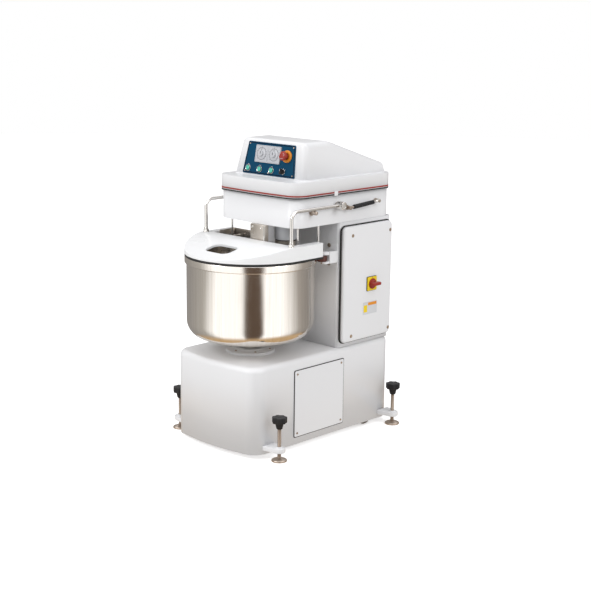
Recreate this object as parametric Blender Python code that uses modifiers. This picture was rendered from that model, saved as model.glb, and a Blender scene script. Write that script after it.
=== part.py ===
# Floor-standing spiral dough mixer with a fixed, driven bowl.
# Metres, +Z up, floor at z = 0, the operator stands on the -Y side.
import bpy
import bmesh
from math import acos, atan2, cos, degrees, pi, radians, sin, sqrt
from mathutils import Euler, Matrix, Vector

# Contact gap between neighbouring pieces and sheet thickness of the casings.
GAP = 0.0003
SHEET = 0.003

# Base cabinet.
BASE_HALF = 0.251
BASE_FRONT = -0.409
BASE_BOW = 0.017
BASE_REAR = 0.4705
BASE_LOW = 0.020
BASE_TOP = 0.394
BASE_CORNER = 0.071
BASE_EDGE = 0.024
ACCESS_LOW = (-0.169, 0.054)
ACCESS_HIGH = (0.137, 0.345)

# Column behind the bowl and its electrical door on the +X side.
COLUMN_HALF = 0.240
COLUMN_FRONT = 0.110
COLUMN_REAR = 0.452
COLUMN_CORNER = 0.018
DOOR_FACE = 0.2636
DOOR_FRONT = 0.118
DOOR_REAR = 0.438
DOOR_LOW = 0.416
DOOR_TOP = 0.930
DOOR_CORNER = 0.022
SWITCH_Y = 0.300
SWITCH_Z = 0.662

# Head: lower casing, then the cover with its band and raised hood.
HEAD_HALF = 0.238
HEAD_FRONT = -0.157
HEAD_BOW = 0.007
HEAD_REAR = 0.456
HEAD_LOW = 0.950
HEAD_TOP = 1.071
HEAD_CORNER = 0.056
COVER_HALF = 0.245
COVER_FRONT = -0.164
COVER_REAR = 0.462
COVER_TOP = 1.141
HOOD_HALF = 0.214
HOOD_TAPER = 0.110
HOOD_TOP = 1.297

# Control panel, leaning back on the hood's front.
PANEL_TILT = radians(10.7)
PANEL_CENTRE = (0.0, -0.075, 1.2155)
PANEL_HALF_LOW = 0.156
PANEL_HALF_TOP = 0.141
PANEL_HALF_HEIGHT = 0.0697
PANEL_THICK = 0.003
BUTTON_ROW = -0.0463
BUTTON_X = {"start_button_left": -0.124, "start_button_middle": -0.054, "start_button_right": 0.0175}
SELECTOR_X = 0.088
STOP_X = 0.101
TIMER_ROW = 0.0198
TIMER_X = -0.012
TIMER_SIDE = 0.074

# Bowl and its drive.
BOWL_Y = -0.187
BOWL_RADIUS = 0.275
BOWL_RIM_RADIUS = 0.283
BOWL_WALL = 0.003
BOWL_FLOOR = 0.463
BOWL_ROUND = 0.075
BOWL_TOP = 0.817
BOWL_BAND = 0.787
BOWL_SHAFT = 0.022
BOWL_MOTOR_Y = 0.190
DRIVE_LEVEL = 0.290
BOWL_PULLEY = 0.120
BOWL_MOTOR_PULLEY = 0.030
BOWL_MOTOR = {"radius": 0.065, "low": 0.050, "high": 0.262, "plate": 0.080, "shaft": 0.009}

# Spiral, breaker bar and main drive.
SPIRAL_X = 0.088
SPIRAL_Y = -0.065
SPIRAL_SWEEP = 0.092
SPIRAL_BAR = 0.015
SPIRAL_FLANGE = 0.035
SPIRAL_FLANGE_TOP = 0.878
SPIRAL_SHAFT = 0.018
HEAD_DRIVE_LEVEL = 0.990
SPIRAL_PULLEY = 0.078
MAIN_MOTOR_Y = 0.280
MAIN_MOTOR_PULLEY = 0.030
MAIN_MOTOR = {"radius": 0.085, "low": 0.640, "high": 0.935, "plate": 0.120, "shaft": 0.012}
BREAKER_X = -0.004
BREAKER_Y = -0.165
BREAKER_BACK = -0.158
BREAKER_RADIUS = 0.018
BREAKER_LOW = 0.484
BREAKER_BLOCK_LOW = 0.864
BREAKER_BLOCK_SIDES = (-0.010, 0.0775)
SPIRAL_TURNS = 1.35
SPIRAL_END = 0.489
GUARD_LOW = 0.862
GUARD_PLATE = (0.854, 0.891)

# Lid, its arms and the gas spring.
LID_RADIUS = 0.2835
LID_LOW = 0.827
LID_TOP = 0.885
LID_BREAK_Y = -0.250
LID_NOSE_TOP = 0.834
LID_WALL = 0.004
LID_REAR = -0.032
LID_WING = 0.2425
LID_INNER_Y = -0.185
ARM_X = 0.2605
ARM_TUBE = 0.0075
ARM_FOOT_Y = -0.207
ARM_LEVEL = 1.029
ARM_BEND = 0.034
PIVOT_Y = 0.088
PIVOT_Z = 1.030
PIVOT_SHAFT = 0.010
HUB_RADIUS = 0.017
STOP_Y = -0.066
LEVER_PIN = (0.150, 1.013)
ANCHOR_PIN = (0.341, 1.026)

# Bowl rollers, feet and wheels.
ROLLER_RADIUS = 0.021
ROLLER_X = 0.216
ROLLER_Z = 0.802
FOOT_X = 0.312
FOOT_Y = {"front": -0.320, "rear": 0.411}
FOOT_SPINDLE = 0.008
FOOT_PAD = 0.0328
KNOB_RADIUS = 0.0325
KNOB_LOW = 0.166
KNOB_TOP = 0.192
WHEEL_RADIUS = 0.048
WHEEL_Y = 0.308
WHEEL_Z = 0.052
WHEEL_X = (0.212, 0.240)

FINISHES = {
    "white paint": ((0.80, 0.81, 0.83), 0.30, 0.0),
    "white lid": ((0.84, 0.85, 0.86), 0.35, 0.0),
    "grey paint": ((0.42, 0.44, 0.47), 0.40, 0.0),
    "stainless": ((0.62, 0.59, 0.55), 0.25, 1.0),
    "chrome": ((0.75, 0.74, 0.72), 0.12, 1.0),
    "zinc": ((0.55, 0.55, 0.54), 0.38, 1.0),
    "black plastic": ((0.02, 0.02, 0.022), 0.45, 0.0),
    "rubber": ((0.015, 0.015, 0.015), 0.70, 0.0),
    "panel blue": ((0.010, 0.070, 0.170), 0.40, 0.0),
    "timer grey": ((0.66, 0.67, 0.68), 0.40, 0.0),
    "red plastic": ((0.55, 0.050, 0.030), 0.40, 0.0),
    "yellow plastic": ((0.85, 0.42, 0.020), 0.40, 0.0),
    "green plastic": ((0.030, 0.42, 0.27), 0.35, 0.0),
    "motor grey": ((0.16, 0.19, 0.22), 0.50, 0.2),
    "cast iron": ((0.13, 0.13, 0.135), 0.55, 0.8),
}


# ---------------------------------------------------------------- helpers

def clear_scene():
    for item in list(bpy.data.objects):
        bpy.data.objects.remove(item, do_unlink=True)


def make_collection(name):
    group = bpy.data.collections.new(name)
    bpy.context.scene.collection.children.link(group)
    return group


def finish_material(name):
    material = bpy.data.materials.get(name)
    if material:
        return material
    colour, roughness, metallic = FINISHES[name]
    material = bpy.data.materials.new(name)
    material.use_nodes = True
    shader = material.node_tree.nodes["Principled BSDF"]
    shader.inputs["Base Color"].default_value = (*colour, 1.0)
    shader.inputs["Roughness"].default_value = roughness
    shader.inputs["Metallic"].default_value = metallic
    material.diffuse_color = (*colour, 1.0)
    return material


def smooth(mesh):
    mesh.shade_smooth()
    mesh.set_sharp_from_angle(angle=radians(35))


def piece_from(bm, name, finish, location=(0.0, 0.0, 0.0), parent=None):
    """Turn a bmesh into a named part, or into a cutter when it has no finish."""
    bmesh.ops.recalc_face_normals(bm, faces=bm.faces)
    mesh = bpy.data.meshes.new(name)
    bm.to_mesh(mesh)
    bm.free()
    smooth(mesh)
    item = bpy.data.objects.new(name, mesh)
    item.location = location
    if finish:
        mesh.materials.append(finish_material(finish))
        parts.objects.link(item)
    else:
        item.hide_render = True
        item.display_type = 'WIRE'
        cutters.objects.link(item)
    item.parent = parent
    return item


def bevel_edges(bm, edges, width, segments):
    bmesh.ops.bevel(bm, geom=edges, offset=width, offset_type='OFFSET', segments=segments,
                    profile=0.5, affect='EDGES', clamp_overlap=True)


def box_mesh(low, high, bevel=0.0, segments=1):
    bm = bmesh.new()
    bmesh.ops.create_cube(bm, size=1.0)
    size = Vector(high) - Vector(low)
    middle = (Vector(high) + Vector(low)) / 2
    bmesh.ops.scale(bm, vec=size, verts=bm.verts)
    bmesh.ops.translate(bm, vec=middle, verts=bm.verts)
    if bevel:
        bevel_edges(bm, list(bm.edges), bevel, segments)
    return bm


def cylinder_mesh(radius, low, high, centre=(0.0, 0.0), sides=24, bevel=0.0):
    bm = bmesh.new()
    bmesh.ops.create_cone(bm, cap_ends=True, segments=sides, radius1=radius, radius2=radius,
                          depth=high - low)
    bmesh.ops.translate(bm, vec=(centre[0], centre[1], (low + high) / 2), verts=bm.verts)
    if bevel:
        rims = [edge for edge in bm.edges if abs(edge.verts[0].co.z - edge.verts[1].co.z) < 1e-6]
        bevel_edges(bm, rims, bevel, 2)
    return bm


def cylinder_along_x(radius, low, high, y, z, sides=20, bevel=0.0):
    bm = cylinder_mesh(radius, low, high, sides=sides, bevel=bevel)
    bmesh.ops.rotate(bm, cent=(0, 0, 0), matrix=Matrix.Rotation(pi / 2, 3, 'Y'), verts=bm.verts)
    bmesh.ops.translate(bm, vec=(0, y, z), verts=bm.verts)
    return bm


def evaluated_copy(item):
    """The item's evaluated mesh as a welded bmesh, in world space."""
    bpy.context.view_layer.update()
    graph = bpy.context.evaluated_depsgraph_get()
    mesh = bpy.data.meshes.new_from_object(item.evaluated_get(graph))
    bm = bmesh.new()
    bm.from_mesh(mesh)
    bm.transform(item.matrix_world)
    bpy.data.meshes.remove(mesh)
    bmesh.ops.remove_doubles(bm, verts=bm.verts, dist=0.00005)
    return bm


def curve_item(name, points, dimensions, cyclic):
    curve = bpy.data.curves.new(name, 'CURVE')
    curve.dimensions = dimensions
    spline = curve.splines.new('POLY')
    spline.points.add(len(points) - 1)
    for node, point in zip(spline.points, points):
        node.co = (*point, 1.0)
    spline.use_cyclic_u = cyclic
    item = bpy.data.objects.new(name, curve)
    cutters.objects.link(item)
    return item


def outline_mesh(outline, low, high):
    """A flat outline in XY filled and raised from low to high."""
    item = curve_item("outline", [(x, y, 0.0) for x, y in outline], '2D', True)
    item.data.fill_mode = 'BOTH'
    item.data.extrude = (high - low) / 2
    item.location.z = (low + high) / 2
    bm = evaluated_copy(item)
    bpy.data.objects.remove(item)
    bmesh.ops.dissolve_limit(bm, angle_limit=radians(0.5), verts=bm.verts, edges=bm.edges)
    return bm


def tube_mesh(points, radius, resolution=3):
    item = curve_item("tube", points, '3D', False)
    item.data.bevel_depth = radius
    item.data.bevel_resolution = resolution
    item.data.use_fill_caps = True
    item.data.twist_mode = 'MINIMUM'
    bm = evaluated_copy(item)
    bpy.data.objects.remove(item)
    return bm


def stand_up(bm):
    """Turn an outline drawn as (y, z) so that its thickness runs along X."""
    turn = Matrix(((0, 0, 1), (1, 0, 0), (0, 1, 0)))
    bmesh.ops.transform(bm, matrix=turn.to_4x4(), verts=bm.verts)
    return bm


def turned(name, finish, profile, steps, location=(0.0, 0.0, 0.0), parent=None):
    """A turned piece: the profile (radius, z) runs down the outer side."""
    bm = bmesh.new()
    verts = [bm.verts.new((radius, 0.0, z)) for radius, z in profile]
    for upper, lower in zip(verts, verts[1:]):
        bm.edges.new((upper, lower))
    mesh = bpy.data.meshes.new(name)
    bm.to_mesh(mesh)
    bm.free()
    item = bpy.data.objects.new(name, mesh)
    item.location = location
    item.parent = parent
    screw = item.modifiers.new("Turn", 'SCREW')
    screw.axis = 'Z'
    screw.steps = steps
    screw.render_steps = steps
    screw.use_merge_vertices = True
    screw.merge_threshold = 0.0001
    screw.use_smooth_shade = True
    mesh.materials.append(finish_material(finish))
    parts.objects.link(item)
    return item


def boolean(item, other, operation):
    step = item.modifiers.new(operation.title(), 'BOOLEAN')
    step.operation = operation
    step.solver = 'EXACT'
    step.object = other


def cut(item, bm, name):
    boolean(item, piece_from(bm, name + "_cutter", None), 'DIFFERENCE')


def join(item, bm, name):
    boolean(item, piece_from(bm, name + "_joined", None), 'UNION')


def solidify(item, thickness):
    step = item.modifiers.new("Sheet", 'SOLIDIFY')
    step.thickness = thickness
    step.offset = -1.0
    step.use_even_offset = True
    step.use_rim = True


def arc(centre, radius, start, end, steps):
    """Points of an arc, angles in degrees."""
    angles = [radians(start + (end - start) * step / steps) for step in range(steps + 1)]
    return [(centre[0] + radius * cos(a), centre[1] + radius * sin(a)) for a in angles]


def rounded_outline(half, front, rear, corner, bow=0.0, steps=4):
    """Plan outline, counter-clockwise, with a front side that bows outwards."""
    inner = half - corner
    sides = 6 if bow else 1
    outline = []
    for step in range(sides + 1):
        x = -inner + 2 * inner * step / sides
        outline.append((x, front - bow * (1 - (x / inner) ** 2)))
    outline += arc((inner, front + corner), corner, -90, 0, steps)[1:]
    outline += arc((inner, rear - corner), corner, 0, 90, steps)
    outline += arc((-inner, rear - corner), corner, 90, 180, steps)
    outline += arc((-inner, front + corner), corner, 180, 270, steps)[:-1]
    return outline


def rounded_rectangle(low, high, corner, steps=4):
    (x0, y0), (x1, y1) = low, high
    outline = arc((x1 - corner, y0 + corner), corner, -90, 0, steps)
    outline += arc((x1 - corner, y1 - corner), corner, 0, 90, steps)
    outline += arc((x0 + corner, y1 - corner), corner, 90, 180, steps)
    outline += arc((x0 + corner, y0 + corner), corner, 180, 270, steps)
    return outline


def level_edges(bm, z):
    """The sharp border edges of a prism's cap at height z."""
    return [e for e in bm.edges
            if all(abs(v.co.z - z) < 1e-5 for v in e.verts) and e.calc_face_angle(0) > 0.5]


def delete_level_faces(bm, z):
    flat = [f for f in bm.faces if all(abs(v.co.z - z) < 1e-5 for v in f.verts)]
    bmesh.ops.delete(bm, geom=flat, context='FACES')


# ---------------------------------------------------------------- casings

def make_base():
    outline = rounded_outline(BASE_HALF, BASE_FRONT, BASE_REAR, BASE_CORNER, BASE_BOW, 4)
    bm = outline_mesh(outline, BASE_LOW, BASE_TOP)
    bevel_edges(bm, level_edges(bm, BASE_TOP), BASE_EDGE, 2)
    delete_level_faces(bm, BASE_LOW)
    base = piece_from(bm, "base_casing", "white paint")
    solidify(base, SHEET)
    cut(base, cylinder_mesh(0.060, BASE_TOP - 0.02, BASE_TOP + 0.02, (0.0, BOWL_Y), 32), "bearing_hole")
    lap = 0.019
    opening_low = (0.20, ACCESS_LOW[0] + lap, ACCESS_LOW[1] + lap + 0.005)
    opening_high = (0.30, ACCESS_HIGH[0] - lap, ACCESS_HIGH[1] - lap - 0.004)
    cut(base, box_mesh(opening_low, opening_high), "access_opening")
    for side in (-1, 1):
        stud = sorted((side * (BASE_HALF - 0.001), side * 0.200))
        join(base, cylinder_along_x(0.008, stud[0], stud[1], WHEEL_Y, WHEEL_Z, 16), "wheel_stud")
        for y in FOOT_Y.values():
            join(base, foot_bracket(side, y), "foot_bracket")
    return base


def foot_bracket(side, y):
    """A thick lug on the side wall with a bore for the levelling spindle."""
    inner = BASE_HALF - 0.0015 if y > 0 else BASE_HALF - 0.012
    outline = [(inner, y - 0.034), (FOOT_X, y - 0.026)]
    outline += arc((FOOT_X, y), 0.026, -90, 90, 6)[1:-1]
    outline += [(FOOT_X, y + 0.026), (inner, y + 0.034)]
    bm = outline_mesh(outline, 0.038, 0.058)
    holder = piece_from(bm, "lug_blank", None)
    cut(holder, cylinder_mesh(FOOT_SPINDLE + 0.0006, 0.030, 0.066, (FOOT_X, y), 20), "spindle_bore")
    result = evaluated_copy(holder)
    if side < 0:
        bmesh.ops.scale(result, vec=(-1, 1, 1), verts=result.verts)
        bmesh.ops.reverse_faces(result, faces=result.faces)
    return result


def make_access_panel():
    outline = rounded_rectangle(ACCESS_LOW, ACCESS_HIGH, 0.006, 2)
    bm = stand_up(outline_mesh(outline, BASE_HALF + GAP, BASE_HALF + 0.0035))
    piece_from(bm, "base_access_panel", "white paint")


def make_column():
    outline = rounded_outline(COLUMN_HALF, COLUMN_FRONT, COLUMN_REAR, COLUMN_CORNER, 0.0, 3)
    low = BASE_TOP + GAP
    high = HEAD_LOW - GAP
    bm = outline_mesh(outline, low, high)
    delete_level_faces(bm, low)
    delete_level_faces(bm, high)
    column = piece_from(bm, "column_casing", "white paint")
    solidify(column, SHEET)
    lap = 0.03
    opening_low = (0.20, DOOR_FRONT + lap, DOOR_LOW + lap)
    opening_high = (0.30, DOOR_REAR - lap, DOOR_TOP - lap)
    cut(column, box_mesh(opening_low, opening_high), "door_opening")
    hole = cylinder_mesh(0.0122, -0.03, 0.03, sides=20)
    bmesh.ops.rotate(hole, cent=(0, 0, 0), matrix=Matrix.Rotation(pi / 2, 3, 'X'), verts=hole.verts)
    bmesh.ops.translate(hole, vec=(-0.12, COLUMN_REAR, 0.47), verts=hole.verts)
    cut(column, hole, "gland_hole")


def make_door():
    outline = rounded_rectangle((DOOR_FRONT, DOOR_LOW), (DOOR_REAR, DOOR_TOP), DOOR_CORNER, 4)
    depth = 0.016
    bm = stand_up(outline_mesh(outline, DOOR_FACE - depth, DOOR_FACE))
    front = [e for e in bm.edges if all(abs(v.co.x - DOOR_FACE) < 1e-5 for v in e.verts)]
    bevel_edges(bm, front, 0.006, 2)
    back = [f for f in bm.faces if all(abs(v.co.x - DOOR_FACE + depth) < 1e-5 for v in f.verts)]
    bmesh.ops.delete(bm, geom=back, context='FACES')
    door = piece_from(bm, "cabinet_door", "white paint")
    solidify(door, 0.002)
    hole = cylinder_along_x(0.009, DOOR_FACE - 0.02, DOOR_FACE + 0.02, SWITCH_Y, SWITCH_Z, 16)
    cut(door, hole, "switch_hole")


def make_door_gasket():
    margin = 0.005
    outer = rounded_rectangle((DOOR_FRONT - margin, DOOR_LOW - margin),
                              (DOOR_REAR + margin, DOOR_TOP + margin), DOOR_CORNER + margin, 4)
    low = COLUMN_HALF + GAP
    high = DOOR_FACE - 0.016 - GAP
    gasket = piece_from(stand_up(outline_mesh(outer, low, high)), "door_gasket", "rubber")
    inner = rounded_rectangle((DOOR_FRONT + 0.012, DOOR_LOW + 0.012),
                              (DOOR_REAR - 0.012, DOOR_TOP - 0.012), 0.014, 3)
    cut(gasket, stand_up(outline_mesh(inner, low - 0.01, high + 0.01)), "gasket_window")


def make_head():
    outline = rounded_outline(HEAD_HALF, HEAD_FRONT, HEAD_REAR, HEAD_CORNER, HEAD_BOW, 4)
    bm = outline_mesh(outline, HEAD_LOW, HEAD_TOP)
    bevel_edges(bm, level_edges(bm, HEAD_LOW), 0.005, 2)
    delete_level_faces(bm, HEAD_TOP)
    head = piece_from(bm, "head_casing", "white paint")
    solidify(head, SHEET)
    lug_low = (BREAKER_BLOCK_SIDES[0] + 0.002, BREAKER_BACK + GAP, BREAKER_BLOCK_LOW + 0.013)
    lug_high = (BREAKER_BLOCK_SIDES[1] - 0.002, -0.122, HEAD_LOW + 0.001)
    join(head, box_mesh(lug_low, lug_high), "breaker_lug")
    cut(head, cylinder_mesh(SPIRAL_FLANGE + 0.0006, 0.90, 0.97, (SPIRAL_X, SPIRAL_Y), 28), "spiral_bore")
    cut(head, box_mesh((-0.17, 0.150, 0.93), (0.17, 0.410, 0.97)), "column_opening")
    cut(head, cylinder_along_x(PIVOT_SHAFT + 0.001, -0.30, 0.30, PIVOT_Y, PIVOT_Z, 20), "pivot_bores")


def hood_profile():
    """Side outline of the hood as (y, z), front face parallel to the control panel."""
    slope_back = (0.425, 1.186)
    foot_z = COVER_TOP - 0.004
    outline = [(0.448, foot_z), (0.444, 1.160), (0.438, 1.176), slope_back]
    outline += [(0.120, 1.2885), (0.095, 1.2945), (0.070, HOOD_TOP), (-0.030, HOOD_TOP)]
    outline += [(-0.046, 1.2940), (-0.0565, 1.2860)]
    depth = PANEL_THICK + GAP
    for z in (1.270, foot_z):
        along = (z - PANEL_CENTRE[2]) * sin(PANEL_TILT) / cos(PANEL_TILT)
        outline.append((PANEL_CENTRE[1] + along + depth / cos(PANEL_TILT), z))
    return outline


def make_cover():
    outline = rounded_outline(COVER_HALF, COVER_FRONT, COVER_REAR, HEAD_CORNER + 0.007, HEAD_BOW, 4)
    bottom = HEAD_TOP + GAP
    band = outline_mesh(outline, bottom, COVER_TOP)
    bevel_edges(band, level_edges(band, COVER_TOP), 0.010, 2)
    hood = stand_up(outline_mesh(hood_profile(), -HOOD_HALF, HOOD_HALF))
    for vert in hood.verts:
        vert.co.x *= 1 - HOOD_TAPER * (vert.co.z - COVER_TOP) / (HOOD_TOP - COVER_TOP)
    side_edges = []
    for edge in hood.edges:
        start, end = (vert.co for vert in edge.verts)
        low, high = sorted((start.z, end.z))
        if abs(start.x - end.x) < 0.02 and low > COVER_TOP - 0.01 and high > COVER_TOP:
            side_edges.append(edge)
    bevel_edges(hood, side_edges, 0.022, 3)
    block = piece_from(band, "cover_blank", None)
    join(block, hood, "hood")
    shell = evaluated_copy(block)
    bmesh.ops.dissolve_limit(shell, angle_limit=radians(0.5), verts=shell.verts, edges=shell.edges)
    delete_level_faces(shell, bottom)
    cover = piece_from(shell, "top_cover", "white paint")
    solidify(cover, SHEET)
    window = box_mesh((-0.138, -0.062, -0.03), (0.138, 0.055, 0.03))
    lean = Euler((pi / 2 - PANEL_TILT, 0, 0)).to_matrix().to_4x4()
    window.transform(Matrix.Translation(PANEL_CENTRE) @ lean)
    cut(cover, window, "panel_window")


# ---------------------------------------------------------------- control panel

def make_panel(frame):
    """The panel's parts are drawn flat, with x across, y up and z out of the panel."""
    corner = 0.006
    half_low, half_top, half = PANEL_HALF_LOW, PANEL_HALF_TOP, PANEL_HALF_HEIGHT
    outline = [(-half_low + corner, -half), (half_low - corner, -half), (half_low, -half + corner)]
    outline += [(half_top, half - corner), (half_top - corner, half)]
    outline += [(-half_top + corner, half), (-half_top, half - corner), (-half_low, -half + corner)]
    sheet = outline_mesh(outline, -PANEL_THICK, 0.0)
    panel = piece_from(sheet, "control_panel", "panel blue", parent=frame)
    for x in [*BUTTON_X.values(), SELECTOR_X]:
        cut_local(panel, cylinder_mesh(0.0115, -0.02, 0.02, (x, BUTTON_ROW), 20), "button_hole", frame)
    cut_local(panel, cylinder_mesh(0.0125, -0.02, 0.02, (STOP_X, TIMER_ROW), 20), "stop_hole", frame)


def cut_local(item, bm, name, frame):
    cutter = piece_from(bm, name + "_cutter", None, parent=frame)
    boolean(item, cutter, 'DIFFERENCE')


def make_timers(frame):
    low = (TIMER_X - TIMER_SIDE, TIMER_ROW - TIMER_SIDE / 2)
    high = (TIMER_X + TIMER_SIDE, TIMER_ROW + TIMER_SIDE / 2)
    bezel = outline_mesh(rounded_rectangle(low, high, 0.003, 2), GAP, 0.006)
    piece_from(bezel, "timer_bezel", "timer grey", parent=frame)
    for name, side in (("timer_dial_slow", -1), ("timer_dial_fast", 1)):
        place = (TIMER_X + side * TIMER_SIDE / 2, TIMER_ROW, 0.006 + GAP)
        profile = [(0.0, 0.009), (0.011, 0.009), (0.0125, 0.0075), (0.0125, 0.002), (0.024, 0.002)]
        profile += [(0.024, 0.0), (0.0, 0.0)]
        turned(name, "timer grey", profile, 24, place, frame)


def make_stop_button(frame):
    place = (STOP_X, TIMER_ROW, GAP)
    collar = [(0.0135, 0.0), (0.0135, 0.009), (0.024, 0.009), (0.0265, 0.006), (0.0265, 0.0), (0.0135, 0.0)]
    turned("stop_button_collar", "yellow plastic", collar, 24, place, frame)
    head = [(0.0, 0.038), (0.016, 0.036), (0.020, 0.031), (0.020, 0.024), (0.012, 0.019)]
    head += [(0.0120, -0.018), (0.0, -0.018)]
    turned("stop_button_head", "red plastic", head, 24, place, frame)


def make_buttons(frame):
    for name, x in BUTTON_X.items():
        cap = [(0.0, 0.0095), (0.0085, 0.0090), (0.0105, 0.0070), (0.0105, -0.020), (0.0, -0.020)]
        turned(name, "green plastic", cap, 24, (x, BUTTON_ROW, 0.0), frame)
    grip = cylinder_mesh(0.0105, -0.020, 0.010, sides=20)
    knob = piece_from(grip, "selector_knob", "black plastic", (SELECTOR_X, BUTTON_ROW, 0.0), frame)
    wing = box_mesh((-0.0045, -0.0125, 0.0085), (0.0045, 0.0125, 0.024), 0.0015)
    joined = piece_from(wing, "selector_wing_joined", None, (SELECTOR_X, BUTTON_ROW, 0.0), frame)
    boolean(knob, joined, 'UNION')


def make_main_switch():
    half = 0.032
    low = (SWITCH_Y - half, SWITCH_Z - half)
    plate = rounded_rectangle(low, (SWITCH_Y + half, SWITCH_Z + half), 0.006, 2)
    face = DOOR_FACE + GAP
    bm = stand_up(outline_mesh(plate, face, face + 0.006))
    switch = piece_from(bm, "main_switch_plate", "yellow plastic")
    hole = cylinder_along_x(0.009, face - 0.01, face + 0.02, SWITCH_Y, SWITCH_Z, 16)
    cut(switch, hole, "switch_shaft_hole")
    knob_low = face + 0.006 + GAP
    knob = piece_from(cylinder_along_x(0.0235, knob_low, knob_low + 0.012, 0.0, 0.0, 24, 0.001),
                      "main_switch_knob", "red plastic", (0.0, SWITCH_Y, SWITCH_Z))
    wing = box_mesh((knob_low + 0.010, -0.0235, -0.0065), (knob_low + 0.027, 0.032, 0.0065), 0.002)
    boolean(knob, piece_from(wing, "switch_wing_joined", None, (0.0, SWITCH_Y, SWITCH_Z)), 'UNION')
    spindle = cylinder_along_x(0.006, knob_low - 0.030, knob_low + 0.004, 0.0, 0.0, 12)
    boolean(knob, piece_from(spindle, "switch_spindle_joined", None, (0.0, SWITCH_Y, SWITCH_Z)), 'UNION')


# ---------------------------------------------------------------- bowl and drives

def make_bowl():
    """Wall, rim band, round heel and shaft in one turned piece."""
    centre = (BOWL_RADIUS - BOWL_ROUND, BOWL_FLOOR + BOWL_ROUND)
    rim = BOWL_RIM_RADIUS
    profile = [(0.0, BOWL_FLOOR + BOWL_WALL)]
    profile += arc(centre, BOWL_ROUND - BOWL_WALL, -90, 0, 4)
    profile += [(BOWL_RADIUS - BOWL_WALL, BOWL_TOP - 0.002), (rim - 0.007, BOWL_TOP)]
    profile += [(rim - 0.002, BOWL_TOP), (rim, BOWL_TOP - 0.002), (rim, BOWL_BAND)]
    profile += [(BOWL_RADIUS, BOWL_BAND - 0.002)]
    profile += arc(centre, BOWL_ROUND, 0, -90, 4)
    profile += [(0.070, BOWL_FLOOR), (0.062, BOWL_FLOOR - 0.010), (0.062, 0.424)]
    profile += [(BOWL_SHAFT, 0.420), (BOWL_SHAFT, 0.262), (0.0, 0.262)]
    turned("mixing_bowl", "stainless", profile, 40, (0.0, BOWL_Y, 0.0))


def make_bowl_bearing():
    bore = BOWL_SHAFT + 0.0006
    low = BASE_TOP + GAP
    profile = [(bore, 0.412), (0.066, 0.412), (0.070, 0.408), (0.100, 0.408), (0.106, 0.404), (0.106, low)]
    profile += [(0.056, low), (0.056, 0.330), (bore, 0.330), (bore, 0.412)]
    turned("bowl_bearing_housing", "white paint", profile, 28, (0.0, BOWL_Y, 0.0))


def pulley(name, radius, bore, level, place):
    half = 0.014
    groove = 0.008
    lip = 0.005
    profile = [(bore, half), (radius + lip, half), (radius + lip, groove), (radius, groove)]
    profile += [(radius, -groove), (radius + lip, -groove), (radius + lip, -half)]
    profile += [(bore, -half), (bore, half)]
    turned(name, "cast iron", profile, 20, (place[0], place[1], level))


def belt(name, start, start_radius, end, end_radius, level):
    """A flat belt that wraps two pulleys, open at its middle."""
    slack = 0.0014
    thick = 0.005

    def outline(extra):
        r1, r2 = start_radius + slack + extra, end_radius + slack + extra
        gap = Vector(end) - Vector(start)
        turn = degrees(atan2(gap.y, gap.x))
        touch = degrees(acos((r1 - r2) / gap.length))
        points = arc(start, r1, turn + touch, turn + 360 - touch, 18)
        points += arc(end, r2, turn - touch, turn + touch, 10)
        return points

    ring = piece_from(outline_mesh(outline(thick), level - 0.0070, level + 0.0070), name, "rubber")
    cut(ring, outline_mesh(outline(0.0), level - 0.02, level + 0.02), name + "_inside")


def make_motor(name, place, sizes, shaft_top):
    """A vertical motor with a round body, a terminal box, a flange plate and its shaft."""
    x, y = place
    radius, low, high = sizes["radius"], sizes["low"], sizes["high"]
    plate, shaft = sizes["plate"], sizes["shaft"]
    motor = piece_from(cylinder_mesh(radius, low, high, place, 24), name, "motor grey")
    terminals = box_mesh((x - radius - 0.030, y - 0.045, low + 0.10),
                         (x - radius + 0.015, y + 0.045, low + 0.18))
    join(motor, terminals, name + "_box")
    flange = box_mesh((x - plate, y - plate, high - 0.012), (x + plate, y + plate, high - 0.002))
    join(motor, flange, name + "_flange")
    join(motor, cylinder_mesh(shaft, high - 0.010, shaft_top, place, 16), name + "_shaft")


# ---------------------------------------------------------------- mixing tools

def make_spiral():
    """The hook leaves the flange, swings out and winds down to the bowl floor."""
    top = SPIRAL_FLANGE_TOP - 0.030
    points = [(0.0, 0.0, top + 0.012), (0.0, 0.0, top - 0.012)]
    count = 34
    for step in range(count + 1):
        part = step / count
        sweep = SPIRAL_SWEEP
        if part < 0.16:
            sweep *= sin(part / 0.16 * pi / 2)
        if part > 0.82:
            sweep *= 1 - 0.42 * ((part - 0.82) / 0.18) ** 2
        angle = radians(-70) - 2 * pi * SPIRAL_TURNS * part
        height = top - 0.030 - (top - 0.030 - SPIRAL_END) * part ** 0.92
        points.append((sweep * cos(angle), sweep * sin(angle), height))
    hook = piece_from(tube_mesh(points, SPIRAL_BAR, 2), "spiral_hook", "stainless",
                      (SPIRAL_X, SPIRAL_Y, 0.0))
    flange = cylinder_mesh(SPIRAL_FLANGE - 0.0004, top, SPIRAL_FLANGE_TOP, sides=28)
    shaft = cylinder_mesh(SPIRAL_SHAFT, SPIRAL_FLANGE_TOP - 0.005, HEAD_DRIVE_LEVEL + 0.024, sides=20)
    for name, bm in (("flange", flange), ("shaft", shaft)):
        boolean(hook, piece_from(bm, "spiral_" + name + "_joined", None, (SPIRAL_X, SPIRAL_Y, 0.0)), 'UNION')


def make_spiral_bearing():
    bore = SPIRAL_SHAFT + 0.0006
    low = SPIRAL_FLANGE_TOP + 0.004
    profile = [(bore, 0.970), (0.055, 0.970), (0.055, 0.954), (SPIRAL_FLANGE, 0.954), (SPIRAL_FLANGE, low)]
    profile += [(bore, low), (bore, 0.970)]
    turned("spiral_bearing_housing", "grey paint", profile, 24, (SPIRAL_X, SPIRAL_Y, 0.0))


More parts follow.
